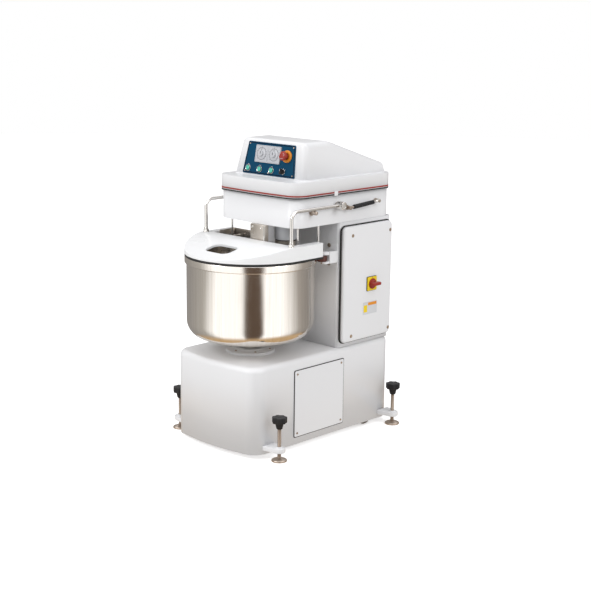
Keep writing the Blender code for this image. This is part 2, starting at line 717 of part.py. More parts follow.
def make_breaker():
    low, high = BREAKER_BLOCK_SIDES
    block = box_mesh((low, BREAKER_BACK - 0.023, BREAKER_BLOCK_LOW),
                     (high, BREAKER_BACK, HEAD_LOW - GAP), 0.0015)
    bar = piece_from(block, "breaker_bar", "stainless")
    rod_top = BREAKER_BLOCK_LOW + 0.008
    rod = cylinder_mesh(BREAKER_RADIUS, BREAKER_LOW, rod_top, (BREAKER_X, BREAKER_Y), 20)
    join(bar, rod, "breaker_rod")


def make_guards():
    """Guard rods under the head, with a stainless plate on the -X side."""
    radius = 0.0045
    low = GUARD_LOW
    plate_low, plate_high = GUARD_PLATE
    bend = 0.012
    front, rear = -0.107, 0.020
    for name, side in (("bowl_guard_left", -1), ("bowl_guard_right", 1)):
        x = side * 0.2
        points = [(x, front, HEAD_LOW - GAP), (x, front, low + bend)]
        points += [(x, y, z) for y, z in arc((front + bend, low + bend), bend, 180, 270, 4)[1:]]
        points += [(x, y, z) for y, z in arc((rear - bend, low + bend), bend, 270, 360, 4)]
        points += [(x, rear, HEAD_LOW - GAP)]
        guard = piece_from(tube_mesh(points, radius, 2), name, "stainless")
        if side < 0:
            plate = box_mesh((-0.2315, -0.062, plate_low), (-0.030, -0.0595, plate_high))
            join(guard, plate, "guard_back")
            wall = box_mesh((-0.2315, -0.155, plate_low), (-0.229, -0.0600, plate_high))
            join(guard, wall, "guard_side")
            arm = box_mesh((-0.2300, -0.090, low - 0.004), (-0.199, -0.080, low + 0.003))
            join(guard, arm, "guard_arm")


# ---------------------------------------------------------------- lid

def lid_outline(inset):
    """Plan outline: round nose over the bowl, straight wings at both sides."""
    radius = LID_RADIUS - inset
    outline = arc((0.0, BOWL_Y), radius, 180, 360, 30)
    outline += [(radius, LID_REAR - inset - 0.012), (radius - 0.012, LID_REAR - inset)]
    inner = LID_WING + inset
    corner = 0.022
    outline += [(inner, LID_REAR - inset)]
    outline += arc((inner - corner, LID_INNER_Y - inset + corner), corner, 0, -90, 3)
    outline += arc((-inner + corner, LID_INNER_Y - inset + corner), corner, 270, 180, 3)
    outline += [(-inner, LID_REAR - inset), (-radius + 0.012, LID_REAR - inset)]
    outline += [(-radius, LID_REAR - inset - 0.012)]
    return outline


def lid_profile(drop, low):
    """Side outline (y, z): level over the wings, falling towards the nose."""
    outline = [(0.05, low), (0.05, LID_TOP - drop), (LID_BREAK_Y + 0.03, LID_TOP - drop)]
    outline += [(LID_BREAK_Y, LID_TOP - 0.003 - drop), (LID_BREAK_Y - 0.04, LID_TOP - 0.0105 - drop)]
    outline += [(-0.46, LID_NOSE_TOP + 0.003 - drop), (-0.49, LID_NOSE_TOP - 0.006 - drop), (-0.49, low)]
    return outline


def lid_block(inset, low, name):
    block = piece_from(outline_mesh(lid_outline(inset), low - 0.01, LID_TOP + 0.05), name, None)
    side = stand_up(outline_mesh(lid_profile(inset, low), -0.4, 0.4))
    boolean(block, piece_from(side, name + "_side", None), 'INTERSECT')
    return evaluated_copy(block)


def make_lid():
    lid = piece_from(lid_block(0.0, LID_LOW, "lid_outside"), "lid", "white lid")
    cut(lid, lid_block(LID_WALL, LID_LOW - 0.02, "lid_inside"), "lid_hollow")
    hole = rounded_rectangle((-0.072, -0.402), (0.072, -0.312), 0.034, 5)
    cut(lid, outline_mesh(hole, 0.80, 0.92), "feed_hole")


def make_lid_seal():
    """A rubber lip under the skirt, round the nose and along both wings."""
    low = BOWL_TOP + GAP
    high = LID_LOW - GAP

    def strip(radius, rear):
        return arc((0.0, BOWL_Y), radius, 180, 360, 30) + [(radius, rear), (-radius, rear)]

    outside = strip(LID_RADIUS - 0.0005, LID_REAR - 0.004)
    seal = piece_from(outline_mesh(outside, low, high), "lid_seal", "rubber")
    cut(seal, outline_mesh(strip(LID_RADIUS - 0.0120, 0.05), low - 0.01, high + 0.01), "seal_inside")


def make_arms():
    for name, side in (("lid_arm_left", -1), ("lid_arm_right", 1)):
        x = side * ARM_X
        low = LID_TOP + GAP
        points = [(x, ARM_FOOT_Y, low), (x, ARM_FOOT_Y, ARM_LEVEL - ARM_BEND)]
        bend = arc((ARM_FOOT_Y + ARM_BEND, ARM_LEVEL - ARM_BEND), ARM_BEND, 180, 90, 6)
        points += [(x, y, z) for y, z in bend[1:]]
        points += [(x, PIVOT_Y - HUB_RADIUS - GAP, ARM_LEVEL)]
        arm = piece_from(tube_mesh(points, ARM_TUBE, 3), name, "chrome")
        join(arm, cylinder_mesh(0.0125, low, low + 0.012, (x, ARM_FOOT_Y), 18), "arm_nut")


def make_pivot():
    reach = 0.284
    shaft = piece_from(cylinder_along_x(PIVOT_SHAFT, -reach, reach, PIVOT_Y, PIVOT_Z, 20),
                       "lid_pivot_shaft", "chrome")
    for side in (-1, 1):
        ends = sorted((side * 0.2523, side * 0.2865))
        join(shaft, cylinder_along_x(HUB_RADIUS, ends[0], ends[1], PIVOT_Y, PIVOT_Z, 20), "pivot_hub")


def make_gas_spring():
    pin_y, pin_z = LEVER_PIN
    length = sqrt((pin_y - PIVOT_Y) ** 2 + (pin_z - PIVOT_Z) ** 2)
    tilt = Vector((pin_y - PIVOT_Y, pin_z - PIVOT_Z)).angle_signed(Vector((1, 0)))
    outline = arc((0.0, 0.0), 0.0165, 90, 270, 8)
    outline += arc((length, 0.0), 0.010, -90, 90, 6)
    plate = stand_up(outline_mesh(outline, 0.2470, 0.2520))
    bmesh.ops.rotate(plate, cent=(0, 0, 0), matrix=Matrix.Rotation(tilt, 3, 'X'), verts=plate.verts)
    bmesh.ops.translate(plate, vec=(0, PIVOT_Y, PIVOT_Z), verts=plate.verts)
    lever = piece_from(plate, "damper_lever", "zinc")
    cut(lever, cylinder_along_x(PIVOT_SHAFT + GAP, 0.24, 0.26, PIVOT_Y, PIVOT_Z, 20), "lever_bore")

    anchor = Vector((0.0, *ANCHOR_PIN))
    front = Vector((0.0, *LEVER_PIN))
    heading = (front - anchor).normalized()
    middle = Vector((ARM_X, 0.0, 0.0))

    def rod(start, end, radius, sides):
        bm = cylinder_mesh(radius, start, end, sides=sides)
        turn = Vector((0, 0, 1)).rotation_difference(heading).to_matrix().to_4x4()
        bm.transform(Matrix.Translation(middle + anchor) @ turn)
        return bm

    span = (front - anchor).length
    tube = piece_from(rod(0.036, span - 0.024, 0.0095, 20), "gas_spring_cylinder", "black plastic")
    cut(tube, rod(0.030, span - 0.034, 0.0046, 12), "cylinder_bore")
    join(tube, rod(span - 0.026, span - 0.004, 0.0055, 12), "front_fitting")
    join(tube, cylinder_along_x(0.0085, 0.2523, 0.2685, *LEVER_PIN, 18), "front_eye")
    piston = piece_from(rod(0.004, span - 0.050, 0.0040, 12), "gas_spring_rod", "chrome")
    join(piston, cylinder_along_x(0.0085, 0.2545, 0.2665, *ANCHOR_PIN, 18), "rear_eye")
    cut(piston, cylinder_along_x(0.0050, 0.24, 0.28, *ANCHOR_PIN, 16), "rear_eye_bore")
    wall = HEAD_HALF + GAP
    post = piece_from(cylinder_along_x(0.0045, wall, 0.2700, *ANCHOR_PIN, 16), "gas_spring_anchor", "zinc")
    join(post, cylinder_along_x(0.0095, wall, 0.2535, *ANCHOR_PIN, 18), "anchor_boss")


def make_lid_stop():
    """A stub on the head's side that the right arm rests on."""
    wall = HEAD_HALF + GAP
    level = ARM_LEVEL - ARM_TUBE - 0.0095
    stop = piece_from(cylinder_along_x(0.0085, wall, 0.2720, STOP_Y, level, 18, 0.001), "lid_stop", "chrome")
    join(stop, cylinder_along_x(0.0130, wall, 0.2430, STOP_Y, level, 18), "stop_foot")


# ---------------------------------------------------------------- rollers, feet, wheels, electrics

def roller_place(side):
    reach = BOWL_RIM_RADIUS + ROLLER_RADIUS + 0.0006
    return side * ROLLER_X, BOWL_Y + sqrt(reach ** 2 - ROLLER_X ** 2)


def make_rollers():
    for name, side in (("left", -1), ("right", 1)):
        x, y = roller_place(side)
        profile = [(0.0055, 0.0125), (ROLLER_RADIUS, 0.0125), (ROLLER_RADIUS, -0.0125)]
        profile += [(0.0055, -0.0125), (0.0055, 0.0125)]
        turned("bowl_roller_" + name, "rubber", profile, 20, (x, y, ROLLER_Z))
        edges = sorted((side * 0.203, side * 0.2385))
        block = box_mesh((edges[0], y - 0.004, ROLLER_Z - 0.024),
                         (edges[1], COLUMN_FRONT - GAP, ROLLER_Z + 0.028), 0.0015)
        bracket = piece_from(block, "roller_bracket_" + name, "white paint")
        fork = box_mesh((edges[0] - 0.01, y - 0.02, ROLLER_Z - 0.014),
                        (edges[1] + 0.01, y + 0.026, ROLLER_Z + 0.014))
        cut(bracket, fork, "fork")
        flange = box_mesh((edges[0] - 0.004, COLUMN_FRONT - 0.006, ROLLER_Z - 0.045),
                          (edges[1] + 0.001, COLUMN_FRONT - GAP, ROLLER_Z + 0.056))
        join(bracket, flange, "bracket_flange")
        join(bracket, cylinder_mesh(0.005, ROLLER_Z - 0.020, ROLLER_Z + 0.024, (x, y), 14), "roller_pin")


def make_feet():
    for row, y in FOOT_Y.items():
        for name, side in (("left", -1), ("right", 1)):
            place = (side * FOOT_X, y, 0.0)
            profile = [(0.0, KNOB_LOW - GAP), (FOOT_SPINDLE, KNOB_LOW - GAP), (FOOT_SPINDLE, 0.016)]
            profile += [(0.014, 0.014), (FOOT_PAD - 0.004, 0.009), (FOOT_PAD, 0.006)]
            profile += [(FOOT_PAD, 0.0), (0.0, 0.0)]
            turned(f"foot_spindle_{row}_{name}", "zinc", profile, 20, place)
            bm = outline_mesh(star_outline(), KNOB_LOW, KNOB_TOP)
            piece_from(bm, f"foot_knob_{row}_{name}", "black plastic", place)


def star_outline():
    """Seven-lobed grip outline."""
    points = []
    count = 42
    for step in range(count):
        angle = 2 * pi * step / count
        radius = KNOB_RADIUS - 0.0045 * (1 - cos(7 * angle)) / 2
        points.append((radius * cos(angle), radius * sin(angle)))
    return points


def make_wheels():
    for name, side in (("left", -1), ("right", 1)):
        width = (WHEEL_X[1] - WHEEL_X[0]) / 2
        centre = side * (WHEEL_X[0] + WHEEL_X[1]) / 2
        bore = 0.0086
        profile = [(bore, width), (WHEEL_RADIUS - 0.004, width), (WHEEL_RADIUS, width - 0.004)]
        profile += [(radius, -z) for radius, z in reversed(profile)]
        profile.append(profile[0])
        wheel = turned("rear_wheel_" + name, "rubber", profile, 28, (centre, WHEEL_Y, WHEEL_Z))
        wheel.rotation_euler = (0.0, pi / 2, 0.0)


def make_electrics():
    plate = piece_from(box_mesh((-0.2365, 0.170, 0.450), (-0.2335, 0.430, 0.610)), "electrical_plate", "zinc")
    for step in range(3):
        y = 0.195 + 0.080 * step
        join(plate, box_mesh((-0.2345, y, 0.480), (-0.165, y + 0.055, 0.575), 0.003), "contactor")
    profile = [(0.0045, 0.018), (0.0100, 0.018), (0.0125, 0.015), (0.0125, 0.004), (0.0165, 0.004)]
    profile += [(0.0165, GAP), (0.0115, GAP), (0.0115, -0.016), (0.0045, -0.016), (0.0045, 0.018)]
    gland = turned("cable_gland", "black plastic", profile, 16, (-0.12, COLUMN_REAR, 0.47))
    gland.rotation_euler = (-pi / 2, 0.0, 0.0)


# ---------------------------------------------------------------- assembly

clear_scene()
parts = make_collection("spiral_dough_mixer")
cutters = make_collection("cutters")
panel_frame = bpy.data.objects.new("panel_frame", None)
panel_frame.location = PANEL_CENTRE
panel_frame.rotation_euler = (pi / 2 - PANEL_TILT, 0.0, 0.0)
parts.objects.link(panel_frame)

make_base()
make_access_panel()
make_column()
make_door()
make_door_gasket()
make_head()
make_cover()
make_panel(panel_frame)
make_timers(panel_frame)
make_stop_button(panel_frame)
make_buttons(panel_frame)
make_main_switch()
make_bowl()
make_bowl_bearing()
pulley("bowl_pulley", BOWL_PULLEY, BOWL_SHAFT + GAP, DRIVE_LEVEL, (0.0, BOWL_Y))
pulley("bowl_motor_pulley", BOWL_MOTOR_PULLEY, 0.0096, DRIVE_LEVEL, (0.0, BOWL_MOTOR_Y))
belt("bowl_belt", (0.0, BOWL_Y), BOWL_PULLEY, (0.0, BOWL_MOTOR_Y), BOWL_MOTOR_PULLEY, DRIVE_LEVEL)
make_motor("bowl_motor", (0.0, BOWL_MOTOR_Y), BOWL_MOTOR, DRIVE_LEVEL + 0.020)
pulley("spiral_pulley", SPIRAL_PULLEY, SPIRAL_SHAFT + GAP, HEAD_DRIVE_LEVEL, (SPIRAL_X, SPIRAL_Y))
pulley("main_motor_pulley", MAIN_MOTOR_PULLEY, 0.0126, HEAD_DRIVE_LEVEL, (0.0, MAIN_MOTOR_Y))
belt("spiral_belt", (SPIRAL_X, SPIRAL_Y), SPIRAL_PULLEY, (0.0, MAIN_MOTOR_Y), MAIN_MOTOR_PULLEY,
     HEAD_DRIVE_LEVEL)
make_motor("main_motor", (0.0, MAIN_MOTOR_Y), MAIN_MOTOR, HEAD_DRIVE_LEVEL + 0.020)
make_spiral()
make_spiral_bearing()
make_breaker()
make_guards()
make_lid()
make_lid_seal()
make_arms()
make_pivot()
make_gas_spring()
make_lid_stop()
make_rollers()
make_feet()
make_wheels()
make_electrics()
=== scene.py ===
from math import cos, pi, radians, sin, sqrt

import bmesh
import bpy
from mathutils import Matrix, Vector


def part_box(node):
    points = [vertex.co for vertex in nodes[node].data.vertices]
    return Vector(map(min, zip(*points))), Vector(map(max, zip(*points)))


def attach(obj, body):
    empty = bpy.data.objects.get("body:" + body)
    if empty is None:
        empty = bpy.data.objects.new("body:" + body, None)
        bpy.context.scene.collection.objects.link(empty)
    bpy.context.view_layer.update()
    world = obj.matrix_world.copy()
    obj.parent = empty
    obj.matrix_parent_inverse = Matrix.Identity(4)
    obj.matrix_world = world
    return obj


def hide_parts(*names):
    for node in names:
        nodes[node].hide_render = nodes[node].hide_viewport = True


# Looks of a floor-standing spiral dough mixer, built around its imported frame.
# Metres, +Z up, the operator stands on the -Y side.
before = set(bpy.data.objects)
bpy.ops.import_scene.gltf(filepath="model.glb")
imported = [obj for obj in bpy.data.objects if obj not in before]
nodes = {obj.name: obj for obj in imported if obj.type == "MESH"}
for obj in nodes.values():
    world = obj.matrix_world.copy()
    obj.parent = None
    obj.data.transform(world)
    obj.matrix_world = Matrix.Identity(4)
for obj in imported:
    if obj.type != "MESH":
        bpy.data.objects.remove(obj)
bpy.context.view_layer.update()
print("stage: frame loaded,", len(nodes), "nodes")


# Camera, floor and studio.

cameraView = {"place": (3.9698, -4.0347, 1.8514), "azimuth": 43.893, "elevation": 12.374,
              "roll": 0.644, "lens": 80.07}
# The floor shows its tan colour to glossy rays only, near the machine: a painted warm reflection in the bowl
# and the chrome.
floorLook = {"radius": 14.0, "colour": (0.92, 0.92, 0.92), "glow": 0.45, "paintedReflectionTan": (0.62, 0.43, 0.24),
             "paintedReflectionReach": (0.55, 1.0), "bounce": (0.82, 0.80, 0.78)}
# Brightness of the surroundings by direction: degrees about +Z from -Y towards +X.
studioRing = [(-180, (0.20, 0.19, 0.18)), (-95, (0.23, 0.22, 0.21)), (-50, (0.34, 0.33, 0.31)),
              (-22, (0.95, 0.95, 0.95)), (30, (0.95, 0.95, 0.95)), (37, (0.085, 0.058, 0.042)),
              (66, (0.085, 0.058, 0.042)), (72, (0.95, 0.95, 0.95)), (108, (0.95, 0.95, 0.95)),
              (146, (0.28, 0.26, 0.24)), (180, (0.20, 0.19, 0.18))]
studioLook = {"strength": 1.45, "softStrength": 0.86, "ceiling": (1.18, 1.18, 1.20), "ceilingFrom": 0.40,
              "ceilingTo": 0.80}


def makeCamera():
    view = cameraView
    data = bpy.data.cameras.new("camera")
    data.lens = view["lens"]
    camera = bpy.data.objects.new("camera", data)
    turn = Matrix.Rotation(radians(view["azimuth"]), 4, 'Z')
    tilt = Matrix.Rotation(radians(90 - view["elevation"]), 4, 'X')
    roll = Matrix.Rotation(radians(view["roll"]), 4, 'Z')
    camera.matrix_world = Matrix.Translation(view["place"]) @ turn @ tilt @ roll
    bpy.context.scene.collection.objects.link(camera)
    bpy.context.scene.camera = camera


def addNode(tree, kind, **settings):
    node = tree.nodes.new(kind)
    for key, value in settings.items():
        setattr(node, key, value)
    return node


def makeWorld():
    world = bpy.data.worlds.new("studio")
    bpy.context.scene.world = world
    world.use_nodes = True
    tree = world.node_tree
    tree.nodes.clear()
    link = tree.links.new
    coords = addNode(tree, "ShaderNodeTexCoord")
    split = addNode(tree, "ShaderNodeSeparateXYZ")
    link(coords.outputs["Generated"], split.inputs[0])
    flip = addNode(tree, "ShaderNodeMath", operation='MULTIPLY')
    flip.inputs[1].default_value = -1.0
    link(split.outputs["Y"], flip.inputs[0])
    angle = addNode(tree, "ShaderNodeMath", operation='ARCTAN2')
    link(split.outputs["X"], angle.inputs[0])
    link(flip.outputs[0], angle.inputs[1])
    around = addNode(tree, "ShaderNodeMapRange")
    around.inputs["From Min"].default_value = -pi
    around.inputs["From Max"].default_value = pi
    link(angle.outputs[0], around.inputs["Value"])
    ring = addNode(tree, "ShaderNodeValToRGB")
    link(around.outputs[0], ring.inputs[0])
    steps = ring.color_ramp.elements
    for index, (degrees, colour) in enumerate(studioRing):
        position = (degrees + 180) / 360
        step = steps[index] if index < 2 else steps.new(position)
        step.position = position
        step.color = (*colour, 1.0)
    height = addNode(tree, "ShaderNodeMapRange", interpolation_type='SMOOTHSTEP')
    height.inputs["From Min"].default_value = studioLook["ceilingFrom"]
    height.inputs["From Max"].default_value = studioLook["ceilingTo"]
    link(split.outputs["Z"], height.inputs["Value"])
    mix = addNode(tree, "ShaderNodeMix", data_type='RGBA')
    link(height.outputs[0], mix.inputs["Factor"])
    link(ring.outputs[0], mix.inputs["A"])
    mix.inputs["B"].default_value = (*studioLook["ceiling"], 1.0)
    room = addNode(tree, "ShaderNodeBackground")
    power = addNode(tree, "ShaderNodeMapRange")
    power.inputs["To Min"].default_value = studioLook["strength"]
    power.inputs["To Max"].default_value = studioLook["softStrength"]
    link(mix.outputs["Result"], room.inputs["Color"])
    link(power.outputs[0], room.inputs["Strength"])
    paper = addNode(tree, "ShaderNodeBackground")
    paper.inputs["Color"].default_value = (1.0, 1.0, 1.0, 1.0)
    rays = addNode(tree, "ShaderNodeLightPath")
    link(rays.outputs["Is Diffuse Ray"], power.inputs["Value"])
    choose = addNode(tree, "ShaderNodeMixShader")
    link(rays.outputs["Is Camera Ray"], choose.inputs[0])
    link(room.outputs[0], choose.inputs[1])
    link(paper.outputs[0], choose.inputs[2])
    output = addNode(tree, "ShaderNodeOutputWorld")
    link(choose.outputs[0], output.inputs[0])


def makeFloor():
    bm = bmesh.new()
    bmesh.ops.create_circle(bm, cap_ends=True, segments=96, radius=floorLook["radius"])
    mesh = bpy.data.meshes.new("floor")
    bm.to_mesh(mesh)
    bm.free()
    floor = bpy.data.objects.new("floor", mesh)
    bpy.context.scene.collection.objects.link(floor)
    material = bpy.data.materials.new("paleFloor")
    material.use_nodes = True
    tree = material.node_tree
    shader = tree.nodes["Principled BSDF"]
    shader.inputs["Base Color"].default_value = (*floorLook["colour"], 1.0)
    shader.inputs["Roughness"].default_value = 0.9
    shader.inputs["Specular IOR Level"].default_value = 0.0
    shader.inputs["Emission Color"].default_value = (1.0, 1.0, 1.0, 1.0)
    shader.inputs["Emission Strength"].default_value = floorLook["glow"]
    # Near the machine, glossy rays see a tan glow instead of the floor: a painted reflection. Farther out
    # they pass through.
    paintedReflectionTan = addNode(tree, "ShaderNodeEmission")
    paintedReflectionTan.inputs["Color"].default_value = (*floorLook["paintedReflectionTan"], 1.0)
    soft = addNode(tree, "ShaderNodeEmission")
    soft.inputs["Color"].default_value = (*floorLook["bounce"], 1.0)
    through = addNode(tree, "ShaderNodeBsdfTransparent")
    coords = addNode(tree, "ShaderNodeTexCoord")
    away = addNode(tree, "ShaderNodeVectorMath", operation='LENGTH')
    tree.links.new(coords.outputs["Object"], away.inputs[0])
    far = addNode(tree, "ShaderNodeMapRange", interpolation_type='SMOOTHSTEP')
    far.inputs["From Min"].default_value = floorLook["paintedReflectionReach"][0]
    far.inputs["From Max"].default_value = floorLook["paintedReflectionReach"][1]
    tree.links.new(away.outputs["Value"], far.inputs["Value"])
    mirrored = addNode(tree, "ShaderNodeMixShader")
    tree.links.new(far.outputs[0], mirrored.inputs[0])
    tree.links.new(paintedReflectionTan.outputs[0], mirrored.inputs[1])
    tree.links.new(through.outputs[0], mirrored.inputs[2])
    rays = addNode(tree, "ShaderNodeLightPath")
    glossy = addNode(tree, "ShaderNodeMixShader")
    tree.links.new(rays.outputs["Is Glossy Ray"], glossy.inputs[0])
    tree.links.new(shader.outputs[0], glossy.inputs[1])
    tree.links.new(mirrored.outputs[0], glossy.inputs[2])
    choose = addNode(tree, "ShaderNodeMixShader")
    tree.links.new(rays.outputs["Is Diffuse Ray"], choose.inputs[0])
    tree.links.new(glossy.outputs[0], choose.inputs[1])
    tree.links.new(soft.outputs[0], choose.inputs[2])
    tree.links.new(choose.outputs[0], tree.nodes["Material Output"].inputs["Surface"])
    mesh.materials.append(material)


def makeLight(name, place, target, size, energy):
    data = bpy.data.lights.new(name, 'AREA')
    data.size = size
    data.energy = energy
    light = bpy.data.objects.new(name, data)
    light.location = place
    light.rotation_euler = (Vector(target) - Vector(place)).to_track_quat('-Z', 'Y').to_euler()
    bpy.context.scene.collection.objects.link(light)


makeCamera()
makeWorld()
makeFloor()
makeLight("key_softbox", (-1.2, -3.9, 3.2), (0.0, 0.0, 0.8), 1.6, 84)
makeLight("side_softbox", (3.4, 0.5, 2.6), (0.0, 0.1, 0.7), 1.6, 34)
bpy.context.scene.view_settings.view_transform = 'Standard'
print("stage: camera, floor and light")


# Shared patterns, as node groups that give masks, values and colours.

def makeGroup(name, inputs, outputs):
    group = bpy.data.node_groups.new(name, 'ShaderNodeTree')
    for label, kind, value in inputs:
        socket = group.interface.new_socket(name=label, in_out='INPUT', socket_type=kind)
        if value is not None:
            socket.default_value = value
    for label, kind in outputs:
        group.interface.new_socket(name=label, in_out='OUTPUT', socket_type=kind)
    return group, addNode(group, "NodeGroupInput"), addNode(group, "NodeGroupOutput")


def noiseIn(group, vector, scale, detail, roughness=0.5):
    noise = addNode(group, "ShaderNodeTexNoise")
    noise.inputs["Detail"].default_value = detail
    noise.inputs["Roughness"].default_value = roughness
    group.links.new(vector, noise.inputs["Vector"])
    if isinstance(scale, float):
        noise.inputs["Scale"].default_value = scale
    else:
        group.links.new(scale, noise.inputs["Scale"])
    return noise.outputs["Fac"]


# Fine skin of paint, moulded plastic or rubber, with a slow cloud over it.
def makeGrainGroup():
    group, given, result = makeGroup(
        "mouldedGrain", [("Vector", 'NodeSocketVector', None), ("Scale", 'NodeSocketFloat', 400.0)],
        [("Height", 'NodeSocketFloat'), ("Cloud", 'NodeSocketFloat')])
    fine = noiseIn(group, given.outputs["Vector"], given.outputs["Scale"], 2.0)
    group.links.new(fine, result.inputs["Height"])
    group.links.new(noiseIn(group, given.outputs["Vector"], 5.0, 3.0), result.inputs["Cloud"])
    return group


# Straight brushing: the vector comes in stretched along the brushing.
def makeBrushGroup():
    group, given, result = makeGroup(
        "straightBrushing", [("Vector", 'NodeSocketVector', None), ("Stretch", 'NodeSocketVector', None)],
        [("Lines", 'NodeSocketFloat'), ("Cloud", 'NodeSocketFloat')])
    stretch = addNode(group, "ShaderNodeVectorMath", operation='MULTIPLY')
    group.links.new(given.outputs["Vector"], stretch.inputs[0])
    group.links.new(given.outputs["Stretch"], stretch.inputs[1])
    group.links.new(noiseIn(group, stretch.outputs[0], 1.0, 4.0, 0.65), result.inputs["Lines"])
    group.links.new(noiseIn(group, given.outputs["Vector"], 14.0, 3.0), result.inputs["Cloud"])
    return group


# Brushing round an upright axis, with slow light and dark streaks up the wall in the colour: painted
# reflection, the stretched glints of the brushing.
def makeTurnedGroup():
    group, given, result = makeGroup(
        "turnedBrushing",
        [("Vector", 'NodeSocketVector', None), ("Centre", 'NodeSocketVector', None),
         ("Fine", 'NodeSocketFloat', 2600.0)],
        [("Lines", 'NodeSocketFloat'), ("Streaks", 'NodeSocketFloat'), ("Cloud", 'NodeSocketFloat')])
    link = group.links.new
    shift = addNode(group, "ShaderNodeVectorMath", operation='SUBTRACT')
    link(given.outputs["Vector"], shift.inputs[0])
    link(given.outputs["Centre"], shift.inputs[1])
    split = addNode(group, "ShaderNodeSeparateXYZ")
    link(shift.outputs[0], split.inputs[0])
    angle = addNode(group, "ShaderNodeMath", operation='ARCTAN2')
    link(split.outputs["Y"], angle.inputs[0])
    link(split.outputs["X"], angle.inputs[1])
    length = addNode(group, "ShaderNodeVectorMath", operation='LENGTH')
    flat = addNode(group, "ShaderNodeCombineXYZ")
    link(split.outputs["X"], flat.inputs["X"])
    link(split.outputs["Y"], flat.inputs["Y"])
    link(flat.outputs[0], length.inputs[0])
    depth = addNode(group, "ShaderNodeMath", operation='SUBTRACT')  # falls along the wall and the floor alike
    link(split.outputs["Z"], depth.inputs[0])
    link(length.outputs["Value"], depth.inputs[1])
    rise = addNode(group, "ShaderNodeMath", operation='MULTIPLY')
    link(depth.outputs[0], rise.inputs[0])
    link(given.outputs["Fine"], rise.inputs[1])
    turn = addNode(group, "ShaderNodeMath", operation='MULTIPLY')
    turn.inputs[1].default_value = 3.0
    link(angle.outputs[0], turn.inputs[0])
    lines = addNode(group, "ShaderNodeCombineXYZ")
    link(turn.outputs[0], lines.inputs["X"])
    link(rise.outputs[0], lines.inputs["Y"])
    link(noiseIn(group, lines.outputs[0], 1.0, 3.0, 0.6), result.inputs["Lines"])
    around = addNode(group, "ShaderNodeMath", operation='MULTIPLY')
    around.inputs[1].default_value = 22.0
    link(angle.outputs[0], around.inputs[0])
    slow = addNode(group, "ShaderNodeMath", operation='MULTIPLY')
    slow.inputs[1].default_value = 1.2
    link(split.outputs["Z"], slow.inputs[0])
    reflectionStreaks = addNode(group, "ShaderNodeCombineXYZ")
    link(around.outputs[0], reflectionStreaks.inputs["X"])
    link(slow.outputs[0], reflectionStreaks.inputs["Y"])
    link(noiseIn(group, reflectionStreaks.outputs[0], 1.0, 4.0, 0.7), result.inputs["Streaks"])
    link(noiseIn(group, shift.outputs[0], 7.0, 3.0), result.inputs["Cloud"])
    return group


# Flour dust that settles on what faces up, in patches.
def makeDustGroup():
    group, given, result = makeGroup(
        "settledDust",
        [("Color", 'NodeSocketColor', None), ("Dust", 'NodeSocketColor', (0.78, 0.76, 0.72, 1.0)),
         ("Amount", 'NodeSocketFloat', 0.2), ("Vector", 'NodeSocketVector', None)],
        [("Color", 'NodeSocketColor')])
    link = group.links.new
    facing = addNode(group, "ShaderNodeNewGeometry")
    split = addNode(group, "ShaderNodeSeparateXYZ")
    link(facing.outputs["Normal"], split.inputs[0])
    upward = addNode(group, "ShaderNodeMapRange")
    upward.inputs["From Min"].default_value = 0.1
    link(split.outputs["Z"], upward.inputs["Value"])
    patches = addNode(group, "ShaderNodeMapRange")
    patches.inputs["From Min"].default_value = 0.42
    patches.inputs["From Max"].default_value = 0.72
    link(noiseIn(group, given.outputs["Vector"], 38.0, 6.0, 0.7), patches.inputs["Value"])
    cover = addNode(group, "ShaderNodeMath", operation='MULTIPLY')
    link(upward.outputs[0], cover.inputs[0])
    link(patches.outputs[0], cover.inputs[1])
    amount = addNode(group, "ShaderNodeMath", operation='MULTIPLY')
    link(cover.outputs[0], amount.inputs[0])
    link(given.outputs["Amount"], amount.inputs[1])
    mix = addNode(group, "ShaderNodeMix", data_type='RGBA')
    link(amount.outputs[0], mix.inputs["Factor"])
    link(given.outputs["Color"], mix.inputs["A"])
    link(given.outputs["Dust"], mix.inputs["B"])
    link(mix.outputs["Result"], result.inputs["Color"])
    return group


mouldedGrain = makeGrainGroup()
straightBrushing = makeBrushGroup()
turnedBrushing = makeTurnedGroup()
settledDust = makeDustGroup()


# Finishes. "colour" and "other" are the two tones that a slow cloud moves between.

def startMaterial(name, look):
    material = bpy.data.materials.new(name)
    material.use_nodes = True
    tree = material.node_tree
    shader = tree.nodes["Principled BSDF"]
    shader.inputs["Metallic"].default_value = look.get("metal", 0.0)
    shader.inputs["Coat Weight"].default_value = look.get("coat", 0.0)
    shader.inputs["Coat Roughness"].default_value = 0.10
    shader.inputs["Specular IOR Level"].default_value = look.get("specular", 0.4)
    coords = addNode(tree, "ShaderNodeTexCoord").outputs["Object"]
    return material, tree, shader, coords


def placeGroup(tree, group, coords, **values):
    node = addNode(tree, "ShaderNodeGroup", node_tree=group)
    tree.links.new(coords, node.inputs["Vector"])
    for key, value in values.items():
        node.inputs[key].default_value = value
    return node


